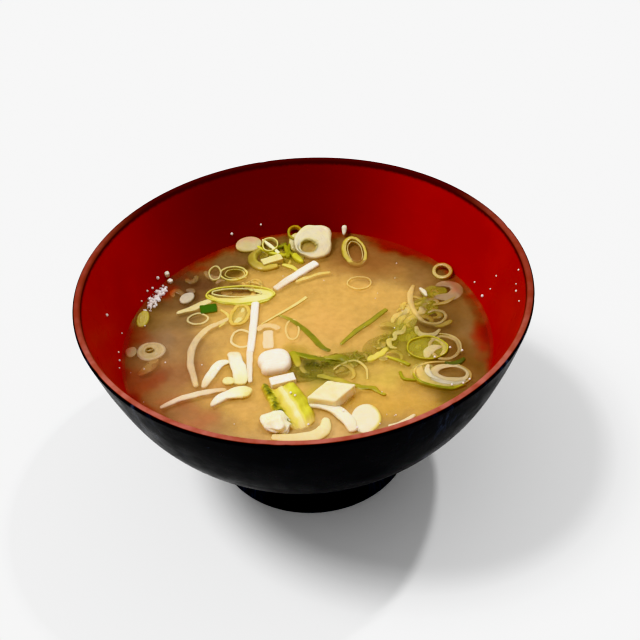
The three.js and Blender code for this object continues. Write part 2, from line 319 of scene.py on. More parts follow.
def cadName(name):
    # leekArcFront here is the frame's leek_arc_front
    return "".join("_" + letter.lower() if letter.isupper() else letter for letter in name)


def makePiece(name, shape, paint, slot, node=None):
    # whole arrays into a mesh, then doubled points at seams and poles merged and the faces turned outwards
    mergeReach = 2e-6
    mesh = bpy.data.meshes.new(name)
    mesh.from_pydata((shape["points"] * mm).tolist(), [], shape["faces"].tolist())
    for kind in ("form", "tint"):
        layer = mesh.attributes.new(kind, "FLOAT_VECTOR", "POINT")
        layer.data.foreach_set("vector", shape[kind].astype(np.float32).ravel())
    work = bmesh.new()
    work.from_mesh(mesh)
    bmesh.ops.remove_doubles(work, verts=work.verts, dist=mergeReach)
    bmesh.ops.recalc_face_normals(work, faces=work.faces)
    work.to_mesh(mesh)
    work.free()
    mesh.polygons.foreach_set("use_smooth", np.ones(len(mesh.polygons), bool))
    # painted shade and bounce light from the broth on sides turned from the sky
    if slot in paintedSideShade:  # sides turned to the broth take up its colour
        facing, tints = np.empty((2, 3 * len(mesh.vertices)), np.float32)
        mesh.vertices.foreach_get("normal", facing)
        mesh.attributes["tint"].data.foreach_get("vector", tints)
        tints = tints.reshape(-1, 3)
        tints[:, 1] = 1 - (1 - tints[:, 1]) * (1 - paintedSideShade[slot] * smoothStep(0.9, 0.1, facing[2::3]))
        mesh.attributes["tint"].data.foreach_set("vector", tints.ravel())
    mesh.materials.append(paint)
    piece = bpy.data.objects.new(name, mesh)
    bpy.context.scene.collection.objects.link(piece)
    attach(piece, "root")
    if node:
        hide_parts(node)
    return piece


# ---- paints

def tone(red, green, blue):
    # a screen colour of 0 to 255 as the linear values that Blender mixes
    c = np.array([red, green, blue]) / 255
    linear = np.where(c <= 0.04045, c / 12.92, ((c + 0.055) / 1.055) ** 2.4)
    return (*linear.tolist(), 1)


def add(tree, kind, inputs=None, **settings):
    # a node with its settings, and its sockets joined to other sockets or set to values
    made = tree.nodes.new("ShaderNode" + kind)
    for key, value in settings.items():
        setattr(made, key, value)
    for key, value in (inputs or {}).items():
        if isinstance(value, bpy.types.NodeSocket):
            tree.links.new(value, made.inputs[key])
        else:
            made.inputs[key].default_value = value
    return made


# the helpers below add to the node tree that their first socket belongs to

def blend(amount, first, second):
    # from the first colour to the second; a screen colour is turned linear
    first, second = (tone(*c) if isinstance(c, tuple) else c for c in (first, second))
    return add(amount.id_data, "Mix", {0: amount, 6: first, 7: second}, data_type="RGBA").outputs[2]


def between(value, low, high, start=0, end=1):
    # start below low, end above high, smooth between
    inputs = {"Value": value, "From Min": low, "From Max": high, "To Min": start, "To Max": end}
    return add(value.id_data, "MapRange", inputs, interpolation_type="SMOOTHSTEP").outputs["Result"]


def figure(work, first, second=0.0, third=0.0):
    return add(first.id_data, "Math", {0: first, 1: second, 2: third}, operation=work).outputs[0]


def shift(work, first, second):
    return add(first.id_data, "VectorMath", {0: first, 1: second}, operation=work).outputs[0]


def lengthOf(vector):
    return add(vector.id_data, "VectorMath", {0: vector}, operation="LENGTH").outputs["Value"]


def scaled(colour, amount):
    return add(colour.id_data, "VectorMath", {0: colour, "Scale": amount}, operation="SCALE").outputs[0]


def grain(spot, size, detail=3, rough=0.5):
    # noise whose lumps are about size millimetres across
    inputs = {"Vector": spot, "Scale": 1 / (size * mm), "Detail": detail, "Roughness": rough}
    return add(spot.id_data, "TexNoise", inputs).outputs["Fac"]


def lumps(spot, size, low, high, start=0, end=1, detail=3, rough=0.5):
    return between(grain(spot, size, detail, rough), low, high, start, end)


def fibresOf(form, stretch, scale, detail, rough=0.5):
    # noise drawn out along the piece
    drawn = shift("MULTIPLY", form, stretch)
    inputs = {"Vector": drawn, "Scale": scale, "Detail": detail, "Roughness": rough}
    return add(form.id_data, "TexNoise", inputs).outputs["Fac"]


def ramp(value, stops):
    made = add(value.id_data, "ValToRGB", {"Fac": value})
    bands = made.color_ramp.elements
    while len(bands) < len(stops):
        bands.new(0.5)
    for band, (at, colour) in zip(bands, stops):
        band.position = at
        band.color = tone(*colour)
    return made.outputs["Color"]


def axes(vector):
    return add(vector.id_data, "SeparateXYZ", {"Vector": vector}).outputs


def feed(shader, socket, value):
    shader.id_data.links.new(value, shader.inputs[socket])


def bump(shader, height, strength, distance):
    lump = add(shader.id_data, "Bump", {"Height": height, "Strength": strength, "Distance": distance * mm})
    feed(shader, "Normal", lump.outputs["Normal"])


def objectPlace(tree):
    return add(tree, "TexCoord").outputs["Object"]


def attribute(tree, name):
    return add(tree, "Attribute", attribute_name=name).outputs["Vector"]


def newPaint(name, **sockets):
    # a Principled shader; constants go straight on its own sockets
    paint = bpy.data.materials.new(name)
    paint.use_nodes = True
    tree = paint.node_tree
    tree.nodes.clear()
    shader = add(tree, "BsdfPrincipled")
    for key, value in sockets.items():
        shader.inputs[key.replace("_", " ")].default_value = value
    add(tree, "OutputMaterial", {"Surface": shader.outputs["BSDF"]})
    return paint, tree, shader


# ---- the broth's colour, shared by the broth and by what is sunk in it

brothLevel = 49.9

brothCloudsAndShade = {
    "base": (224, 182, 100),
    "shoal": (162, 127, 83),  # towards the wall
    "shoalFrom": 34,
    "shoalTo": 58,
    # centre x, y, reach x, y, softness, colour
    "spots": [
        (-8, 2, 24, 18, 0.9, (241, 198, 115)),
        (7, 9, 12, 14, 0.9, (228, 183, 103)),
        (0, -44, 32, 13, 0.9, (221, 186, 122)),
        (28, -33, 20, 12, 0.9, (214, 174, 83)),
        (22, -21, 14, 7, 0.8, (219, 189, 92)),
        (9, -12, 16, 8, 0.9, (171, 152, 70)),
        (-3, -6, 7, 6, 0.8, (189, 158, 70)),
        # dark olive: partly sunk wakame, partly painted shadow
        (2, -13, 9, 5, 0.9, (96, 81, 39)),
        (3, -20, 8, 4, 0.8, (180, 164, 83)),
        (1, -27, 7, 6, 0.8, (197, 176, 79)),
        (-20, -29, 12, 6, 0.8, (225, 182, 106)),
        (34, -4, 14, 18, 0.8, (167, 148, 64)),
        # painted shade: the two darker browns at the right
        (46, 6, 11, 18, 0.8, (118, 86, 50)),
        (50, 21, 8, 9, 0.8, (112, 66, 40)),
        (53, -14, 9, 14, 0.8, (131, 92, 47)),
        (46, -29, 12, 8, 0.8, (136, 107, 49)),
        (-29, -22, 13, 9, 0.9, (209, 160, 96)),
        (-44, -12, 16, 16, 0.8, (168, 118, 79)),
        (-53, -13, 6, 6, 0.9, (134, 86, 62)),
        (-44, -29, 10, 8, 0.95, (186, 120, 78)),
        (-36, -37, 8, 6, 0.8, (191, 127, 82)),
        (-42, 4, 17, 11, 0.8, (169, 130, 87)),
        (-45, 13, 14, 7, 0.8, (143, 113, 75)),
        (-54, 2, 9, 10, 0.8, (159, 127, 92)),
        (-41, 34, 18, 16, 0.8, (112, 81, 62)),
        (-29, 30, 10, 5, 0.7, (139, 107, 73)),
        (-26, 46, 14, 8, 0.8, (138, 106, 73)),
        (-25.6, 39.6, 5.4, 4.2, 0.5, (104, 78, 40)),
        (-26, 28, 11, 3, 0.6, (122, 80, 46)),
        (-8, 52, 20, 9, 0.8, (141, 114, 68)),
        (22, 44, 24, 16, 0.8, (162, 114, 72)),
        (-58, -18, 10, 17, 0.95, (178, 90, 58)),
        (-61, 8, 7, 11, 0.8, (162, 104, 74)),
    ],
    "edge": (164, 28, 10),
    "edgeFrom": 57.5,
    "edgeTo": 63.5,
}


def brothColour():
    # soft oval clouds laid over a base, a few of them painted shade, pushed about by noise, and redder
    # towards the wall
    group = bpy.data.node_groups.new("brothColour", "ShaderNodeTree")
    group.interface.new_socket("Color", in_out="OUTPUT", socket_type="NodeSocketColor")
    spot = objectPlace(group)
    stir = add(group, "TexNoise", {"Vector": spot, "Scale": 1 / (13 * mm), "Detail": 2}).outputs["Color"]
    push = shift("MULTIPLY", shift("SUBTRACT", stir, (0.5, 0.5, 0.5)), (0.022, 0.022, 0))
    moved = shift("ADD", shift("MULTIPLY", spot, (1, 1, 0)), push)
    radius = lengthOf(moved)
    shoal = between(radius, brothCloudsAndShade["shoalFrom"] * mm, brothCloudsAndShade["shoalTo"] * mm)
    colour = blend(shoal, brothCloudsAndShade["base"], brothCloudsAndShade["shoal"])
    for x, y, reachX, reachY, soft, shade in brothCloudsAndShade["spots"]:
        local = shift("SUBTRACT", moved, (x * mm, y * mm, 0))
        local = shift("MULTIPLY", local, (1 / (reachX * mm), 1 / (reachY * mm), 0))
        colour = blend(between(lengthOf(local), 1 - soft, 1.15, 0.92, 0), colour, shade)
    rim = between(radius, brothCloudsAndShade["edgeFrom"] * mm, brothCloudsAndShade["edgeTo"] * mm)
    colour = blend(rim, colour, brothCloudsAndShade["edge"])
    curds = lumps(spot, 2.4, 0.3, 0.72, 0.86, 1.08, 5, 0.66)
    mist = lumps(spot, 11, 0.25, 0.75, 0.9, 1.06, 3, 0.55)
    out = group.nodes.new("NodeGroupOutput")
    group.links.new(scaled(colour, figure("MULTIPLY", curds, mist)), out.inputs[0])
    return group


brothGroup = brothColour()


def brothTint(tree):
    return add(tree, "Group", node_tree=brothGroup).outputs[0]


def drowned(colour, sunk, clear=0.55, murk=0.9):
    # the colour turned to the broth's by how sunk it is, and by its depth below the level
    tree = colour.id_data
    height = axes(objectPlace(tree))["Z"]
    depth = between(height, (brothLevel - murk) * mm, (brothLevel + clear) * mm, 0.85, 0)
    return blend(figure("MAXIMUM", depth, sunk), colour, brothTint(tree))


# ---- bowl

bowl = {
    "rimRadius": 75,
    "wall": 2.5,
    "side": ((33.5, 12), (44.6, 23.5), (56, 34.8), (65, 47.8), (71.1, 62.6), (75, 75.5)),
    "foot": ((0, 5), (16, 4.9), (28.6, 4.7), (31, 3.6), (31.8, 2.4), (31.8, 0.7), (32.4, 0.05), (33.3, 0),
             (34.3, 0.05), (35, 0.8), (34.8, 4), (34.1, 9.6)),
    "inside": ((0, 9), (12, 9.2), (22, 10.1)),
    "lipRound": 1.2,
    "segments": 288,
    # angle, width and depth of the small chips in the lip's outer edge
    "nicks": ((-99.5, 1.3, 0.5), (-95, 0.8, 0.35), (-56.5, 0.9, 0.4), (-128, 0.7, 0.3), (18, 0.8, 0.3),
              (100, 0.9, 0.35), (212, 1.1, 0.4), (-12, 0.6, 0.3)),
}


def bowlWall(inset):
    # points of the side, moved inwards along its normal
    line, _ = smoothPath(bowl["side"], 70)
    ahead = unit(np.gradient(line, axis=0))
    return line + inset * np.stack([-ahead[:, 1], ahead[:, 0]], 1)


def wallRadius(height):
    inner = bowlWall(bowl["wall"])
    return np.interp(height, inner[:, 1], inner[:, 0])


lacquerTones = {
    "red": (156, 3, 1), "redLight": (168, 8, 3), "redShadedBack": (112, 2, 1), "dust": (188, 52, 40),
    "lip": (150, 76, 62), "lipWornSheen": (170, 98, 86), "lipShadedSides": (116, 44, 34), "lipShadedBack": (62, 8, 7),
    "chip": (80, 14, 11), "line": (62, 2, 2),
    "black": (1, 1, 2), "blackSoft": (5, 6, 8), "smudgeSheen": (18, 20, 27), "rubbedSheen": (50, 54, 66),
    "speck": (74, 78, 90),
}


def lacquerPaint():
    # red inside, darker towards the back by painted shade; a dark line of painted shade under the lip, whose
    # pink is partly worn lacquer and partly painted sheen, darker at its sides and back by painted shade;
    # black outside with faint rubbed marks and painted sheen
    paint, tree, shader = newPaint("lacquer", Roughness=0.3, Specular_IOR_Level=0.015)
    spot, formVector = objectPlace(tree), attribute(tree, "form")
    side, form = axes(spot), axes(formVector)
    inwards, angle = form["X"], form["Y"]
    fine = grain(spot, 1.4, 4, 0.6)
    ragged = figure("MULTIPLY_ADD", figure("SUBTRACT", fine, 0.5), 0.0011, inwards)
    red = blend(lumps(spot, 22, 0.35, 0.7), lacquerTones["red"], lacquerTones["redLight"])
    # painted shade: the red inside darkens towards the back
    away = lengthOf(shift("SUBTRACT", spot, (-0.014, 0.07, 0.068)))
    red = blend(between(away, 0.016, 0.072, 1, 0), red, lacquerTones["redShadedBack"])
    red = blend(lumps(spot, 0.7, 0.7, 0.78, 0, 0.35, 2), red, lacquerTones["dust"])
    # the lip's pink is partly worn lacquer and partly painted sheen
    lip = blend(lumps(spot, 4, 0.3, 0.7), lacquerTones["lip"], lacquerTones["lipWornSheen"])
    # painted shade: the lip darker at its sides and darkest at the back
    shadedSides = between(figure("ABSOLUTE", side["X"]), 0.062, 0.075, 0, 0.75)
    lip = blend(shadedSides, lip, lacquerTones["lipShadedSides"])
    lip = blend(between(side["Y"], 0.012, 0.05), lip, lacquerTones["lipShadedBack"])
    lip = blend(lumps(spot, 2.1, 0.72, 0.76, 0, 0.6, 3, 0.6), lip, lacquerTones["chip"])
    soft = lumps(spot, 6, 0.52, 0.75, 0, 1, 5, 0.7)
    black = blend(soft, lacquerTones["black"], lacquerTones["blackSoft"])
    # rubbed marks and painted sheen: smudges and bluish streaks on the black
    stretched = shift("MULTIPLY", spot, (1, 1, 0.22))
    black = blend(lumps(stretched, 5, 0.62, 0.76, 0, 0.4, 5, 0.72), black, lacquerTones["smudgeSheen"])
    rubbedSheenPlaces = figure("ADD", between(angle, 5.05, 5.3), between(angle, 3.3, 3.6))
    rubbedSheenPlaces = figure("SUBTRACT", rubbedSheenPlaces, between(angle, 5.75, 5.95))
    rubbedSheenPlaces = figure("SUBTRACT", rubbedSheenPlaces, between(angle, 4.0, 4.2))
    streaks = fibresOf(formVector, (0, 34, 0.1), 1, 4, 0.7)
    streaks = figure("MULTIPLY", between(streaks, 0.48, 0.7), lumps(spot, 9, 0.42, 0.6))
    black = blend(figure("MULTIPLY", streaks, rubbedSheenPlaces), black, lacquerTones["rubbedSheen"])
    black = blend(lumps(spot, 0.9, 0.75, 0.8, 0, 0.8, 2), black, lacquerTones["speck"])
    inFront = between(side["Y"], -0.06, -0.02, 0.45 * mm, 0)  # the line lies further out in front
    # painted shade: a dark line just inside the lip, where the wall's top is seen edge-on
    line = between(figure("ADD", inwards, inFront), 1.15 * mm, 1.6 * mm)
    colour = blend(between(inwards, -1.15 * mm, -0.85 * mm), black, lip)
    colour = blend(line, colour, lacquerTones["line"])
    colour = blend(between(ragged, 1.9 * mm, 3.1 * mm), colour, red)
    feed(shader, "Base Color", colour)
    matt = between(ragged, -1.2 * mm, -0.9 * mm)
    matt = figure("MULTIPLY", matt, between(ragged, 1.1 * mm, 1.9 * mm, 1, 0))
    polish = lumps(spot, 7, 0.3, 0.7, 0.26, 0.38, 4, 0.6)
    feed(shader, "Roughness", figure("MULTIPLY_ADD", matt, 0.14, polish))
    bump(shader, figure("ADD", fine, grain(spot, 12, 2)), 0.25, 0.12)
    return paint


def makeBowl():
    # foot, side, half-round lip and inside in one closed profile, turned about Z, with the lip chipped by
    # bell curves of the angle; form X is the distance along the profile inwards from the lip's crest
    outside = bowlWall(0)
    inside = bowlWall(bowl["wall"])[::-1]
    a, b = outside[-1], inside[0]
    middle, across = (a + b) / 2, (a - b) / 2
    upward = np.array([-across[1], across[0]]) * bowl["lipRound"] / np.linalg.norm(across)
    v = np.linspace(0, np.pi, 19)[1:-1, None]
    power = 0.75
    lip = middle + across * np.sign(np.cos(v)) * np.abs(np.cos(v)) ** power + upward * np.sin(v) ** power
    foot, _ = smoothPath(bowl["foot"], 60)
    floor, _ = smoothPath(bowl["inside"][::-1], 16)
    bend, _ = smoothPath((foot[-1], (33.35, 11.1), outside[0]), 8)
    inner, _ = smoothPath((inside[-1], (27, 12.2), floor[0]), 8)
    profile = np.vstack([foot, bend[1:-1], outside, lip, inside, inner[1:-1], floor])
    run = np.concatenate([[0], np.cumsum(np.linalg.norm(np.diff(profile, axis=0), axis=1))])
    crest = run[np.argmax(profile[:, 1])]
    points = turned(profile, bowl["segments"])
    angle = bearings(bowl["segments"])
    inwards = run - crest
    lipEdge = np.exp(-((inwards + 1.5) / 0.7) ** 2)[:, None]
    for at, width, depth in bowl["nicks"]:
        away = (angle - math.radians(at) + np.pi) % (2 * np.pi) - np.pi
        cut = depth * lipEdge * np.exp(-(away * bowl["rimRadius"] / width) ** 2)
        points[..., 0] -= cut * np.cos(angle)
        points[..., 1] -= cut * np.sin(angle)
        points[..., 2] -= 0.5 * cut
    form = (inwards[:, None] * mm, angle, profile[:, 1:])
    shape = part(points, gridFaces(len(profile), bowl["segments"]), form)
    makePiece("lacquerBowl", shape, lacquerPaint(), "bowl", "bowl")


makeBowl()
print("bowl made")


# ---- broth: a solid core, and over it a thin clouded film that sunk pieces show through

broth = {
    "coreDrop": 1.5,  # how far the core's top lies below the level
    "filmDepth": 1.9,
    "filmOpacity": 0.5,
    "meniscus": 0.35,
    "reach": 0.6,  # how far the broth runs into the wall
    "ripple": 0.05,
    "segments": 192,
}


def brothPaint(name, opacity, roughness):
    paint, tree, shader = newPaint(name, Roughness=roughness, Specular_IOR_Level=0.32, Alpha=opacity)
    feed(shader, "Base Color", brothTint(tree))
    bump(shader, grain(objectPlace(tree), 5, 2), 0.12, 0.3)
    return paint


def makeBroth():
    # both are turned profiles; the film's top climbs the wall as exp(-gap) and carries a slight swell
    inner = bowlWall(bowl["wall"] - broth["reach"])
    top = brothLevel - broth["coreDrop"]
    side = inner[(inner[:, 1] > 12) & (inner[:, 1] < top - 0.3)]
    rim = np.interp(top, inner[:, 1], inner[:, 0])
    floor = bowl["inside"][0][1] - broth["reach"] * 0.5
    bottom = [(0, floor), (20, floor + 0.7)]
    core = np.vstack([bottom, side, [(rim, top), (rim * 0.66, top), (rim / 3, top), (0, top)]])
    shape = part(turned(core, broth["segments"]), gridFaces(len(core), broth["segments"]))
    makePiece("brothCore", shape, brothPaint("brothBody", 1.0, 0.5), "broth", "broth")
    edge = wallRadius(brothLevel)
    share = np.linspace(0, 1, 70)
    radius = (edge + broth["reach"]) * (1 - (1 - share) ** 1.6)
    climb = broth["meniscus"] * np.exp(-np.maximum(edge - radius, 0) / 0.7)
    above = np.column_stack([radius, brothLevel + climb])
    low = brothLevel - broth["filmDepth"]
    lowEdge = wallRadius(low) + broth["reach"]
    film = np.vstack([above, [(lowEdge, low), (lowEdge / 2, low), (0, low)]])
    points = turned(film, broth["segments"])
    calm = np.concatenate([smoothStep(0, 0.1, share) * smoothStep(1, 0.9, share), [0, 0, 0]])[:, None]
    points[..., 2] += broth["ripple"] * waves(points, 14, 3) * calm
    shape = part(points, gridFaces(len(film), broth["segments"]))
    makePiece("brothFilm", shape, brothPaint("brothSurface", broth["filmOpacity"], 0.12), "broth")


makeBroth()
print("broth made")


# ---- spring onion

# the colour at each greenness
leekTones = [(0.0, (255, 252, 226)), (0.16, (255, 250, 192)), (0.34, (233, 220, 124)), (0.52, (210, 206, 71)),
             (0.66, (177, 167, 51)), (0.76, (146, 142, 38)), (0.88, (108, 112, 31)), (1.0, (71, 80, 29))]
emeraldTone = (56, 92, 22)


def leekPaint(name, soft, opacity=1.0, relief=0.3, mottle=1.0):
    # white through yellow to dark green by the tint's X, with fibres along the piece, wet and a little
    # see-through
    paint, tree, shader = newPaint(name, Roughness=0.3, Specular_IOR_Level=0.16, Coat_Weight=0.08,
                                   Coat_Roughness=0.1, Subsurface_Weight=soft, Subsurface_Scale=2.2 * mm,
                                   Subsurface_Radius=(1.0, 0.86, 0.5), Alpha=opacity)
    form, spot = attribute(tree, "form"), objectPlace(tree)
    tint = axes(attribute(tree, "tint"))
    fibres = fibresOf(form, (0.35, 3.2, 0.5), 1.6, 3)
    uneven = figure("ADD", figure("MULTIPLY_ADD", fibres, 0.22, -0.11),
                    figure("MULTIPLY_ADD", grain(spot, 3.4), 0.2, -0.1))
    greenness = figure("MULTIPLY_ADD", uneven, mottle, tint["X"])
    colour = scaled(ramp(greenness, leekTones), between(fibres, 0.3, 0.7, 0.86, 1.05))
    colour = blend(between(tint["Z"], 0.2, 0.9), colour, emeraldTone)
    feed(shader, "Base Color", drowned(colour, tint["Y"]))
    bump(shader, figure("ADD", fibres, grain(spot, 0.8, 2)), relief, 0.12)
    return paint


paints = {
    "leek_white": leekPaint("leekWhite", 0.5),
    "leek_green": leekPaint("leekGreen", 0.3),
    "leek_rim": leekPaint("leekRim", 0.4),
    "green_shred": leekPaint("shredGreen", 0.08),
}
leekVeil = leekPaint("leekVeil", 0.3, 0.22, 0.02, 0.2)

# what floats lies low: its cut height is pressed flatter and dropped a little
afloat = {"flatten": 0.75, "drop": 0.25}


def settle(shape):
    return {**shape, "points": shape["points"] * (1, 1, afloat["flatten"]) - (0, 0, afloat["drop"])}


def makeLeek(name, shape, slot, isNode=True):
    makePiece(name, shape, paints[slot], slot, cadName(name) if isNode else None)


def strandOf(row, **more):
    # each row: path in plan, width, height, rise of its middle above the level, greenness, how sunk, seed,
    # and what else is its own
    return strand(*row[:7], **more, **dict(*row[7:]))


def madeRows(rows, **more):
    return [place(strandOf(row, **more)) for row in rows]


# strands that lie on the broth, each row with its slot first
strands = {
    "sproutStemLeft": ("leek_white", ((-27, 14.2), (-34.6, 8.8), (-39, 0.8), (-39.7, -8), (-36.8, -20.4)),
        (1.8, 2.6, 2.7, 2.5, 2), 1.8, (0, 0.05, 0.1, 0), 0.1, (0.76, 0.7, 0.7, 0.68, 0.68), 11,
        dict(square=0.7)),
    "leekArcFront": ("leek_white", ((-12.4, -45), (-5.6, -46.6), (0.9, -46), (4.6, -42.8), (5, -38.2)),
        (2.4, 3.8, 4.6, 4.4, 2.4), 2.6, (0.1, 0.3, 0.5, 0.5), 0.16, (0.64, 0.52, 0.34, 0.1), 21,
        dict(lean=(-10, -14, -22, -26), edge=0.3, grooves=2, square=0.75, ends=0.5)),
    "leekArcMiddle": ("leek_white", ((-0.4, -31.9), (5, -33), (9.6, -36.6), (12.5, -41), (13.5, -45.2)),
        (2, 3.6, 4.4, 4.4, 2.8), 2.4, (0.5, 1, 1, 0.4), 0.04, (0.2, 0, 0, 0.1, 0.4), 31,
        dict(lean=(24, 18, 10, 0), grooves=2, square=0.8, ends=0.6)),
    "leekHookLeft": ("leek_white", ((-25.4, -4), (-24.2, -8.6), (-22.9, -13.4), (-22.4, -17.6),
        (-22.8, -20.6)), (4.4, 5, 5.2, 5, 4.2), 2.2, (0.2, 0.8, 0.8, 0.5), (0.1, 0, 0.02, 0.1, 0.2),
        (0.5, 0.06, 0, 0.05, 0.2), 41, dict(lean=(20, 14, 4, -8), grooves=3, square=0.7, ends=0.4)),
    "leekArcLeft": ("leek_white", ((-26.2, -9), (-29, -9.8), (-31, -12), (-32.7, -15.2), (-33.9, -18.2),
        (-34.9, -21.2)), (1.6, 2.9, 3.3, 3.2, 3, 1.6), 2.2, (0.5, 0.6, 0.5, 0.3, 0.1), 0.02,
        (0.1, 0, 0, 0.1, 0.35, 0.7), 51, dict(lean=18, grooves=2, square=0.75, ends=0.8)),
    "leekArcLow": ("leek_white", ((-18.6, -25), (-21, -24.2), (-24, -24.3), (-27.3, -25.6), (-29.7, -27.5),
        (-32, -30)), (4.6, 6.6, 5.4, 4, 3, 1.4), 2.4, (0.3, 0.7, 0.6, 0.4, 0.2, 0),
        (0.32, 0.16, 0.04, 0, 0), (0.2, 0, 0, 0, 0.1, 0.5), 61,
        dict(lean=-14, grooves=2, square=0.7, ends=0.6)),
    "leekCurlBack": ("leek_green", ((-15.6, 53.6), (-18.6, 50.2), (-18.6, 45.2), (-14.6, 42), (-9.2, 42.8)),
        (1.8, 3.2, 3.8, 3.6, 2), 3, 0.6, (0.6, 0.68, 0.66, 0.58, 0.5), (0.62, 0.56, 0.54, 0.54, 0.66), 71,
        dict(lean=-24, edge=0.76, inner=0.5, ends=0.6)),
    "leekCrescentRight": ("leek_white", ((47.4, 25.4), (51, 26.2), (54, 25), (54.6, 21.6), (51.4, 18.8),
        (46, 18.8)), (1.6, 4.4, 5, 4.6, 3.6, 1.6), 1.6, 0.3, 0.08, (0.92, 0.88, 0.86, 0.88, 0.84, 0.9), 81,
        dict(lean=14, grooves=2)),
    "leekLoopRight": ("leek_white", ((39.6, 27), (37.5, 20.6), (37.9, 12.8), (40.2, 6.8), (43.3, 4.5),
        (46.4, 4.6), (48.8, 7.5), (48.2, 10.6), (45.2, 11.8), (42.6, 10.4)),
        (1.4, 2.2, 2.3, 1.8, 1.5, 1.4, 1.3, 1.2, 1), 2, 0.1, (0.24, 0.18, 0.24, 0.24, 0.2),
        (0.84, 0.8, 0.8, 0.84, 0.86), 91, dict(lean=16)),
    "leekArcRight": ("leek_white", ((45.2, -0.8), (49.2, -1.8), (51.8, -5.6), (51.6, -11)),
        (0.6, 1, 1, 0.8), 1.6, 0, 0.24, (0.76, 0.7, 0.66, 0.66), 101, dict(edge=0.4)),
    "leekSlabRight": ("leek_green", ((19.8, -12.5), (23.7, -9.9), (27.6, -6.7)), (1.4, 2.8, 2.6, 1.8), 1.6,
        0.2, (0.46, 0.42, 0.46), (0.46, 0.36, 0.5), 111, dict(edge=0.54, uneven=0.2)),
    "greenShredMiddle": ("green_shred", ((-10.6, 14.9), (-7.4, 13), (-3.6, 9.6), (-0.2, 5), (2.8, 0),
        (5.4, -4.4), (8, -6.4)), (0.8, 1.6, 1.9, 2.1, 2.2, 1.6), 1.2, 0.2, (0.74, 0.86, 0.86, 0.9),
        (0.3, 0.06, 0, 0.1), 121, dict(inner=0.82)),
    "greenShredRight": ("green_shred", ((28.8, 14.2), (22.6, 8), (16.8, 2.8), (11.3, -3.6)),
        (1.7, 2.1, 2, 1.2), 1.3, 0.2, 0.78, 0.12, 131, dict(edge=0.9, inner=0.84, grooves=2)),
    "greenShredFront": ("green_shred", ((-5, -6.4), (0.2, -8.6), (6.2, -10.8), (13.4, -12)),
        (1.6, 2.3, 2.1, 1.4), 1.2, (0.4, 0.25, 0), (0.8, 0.86, 0.9), (0, 0, 0.15, 0.5), 141, dict(edge=0.74)),
}

for name, (slot, *row) in strands.items():
    makeLeek(name, place(settle(strandOf(row))), slot)
print("strands made")

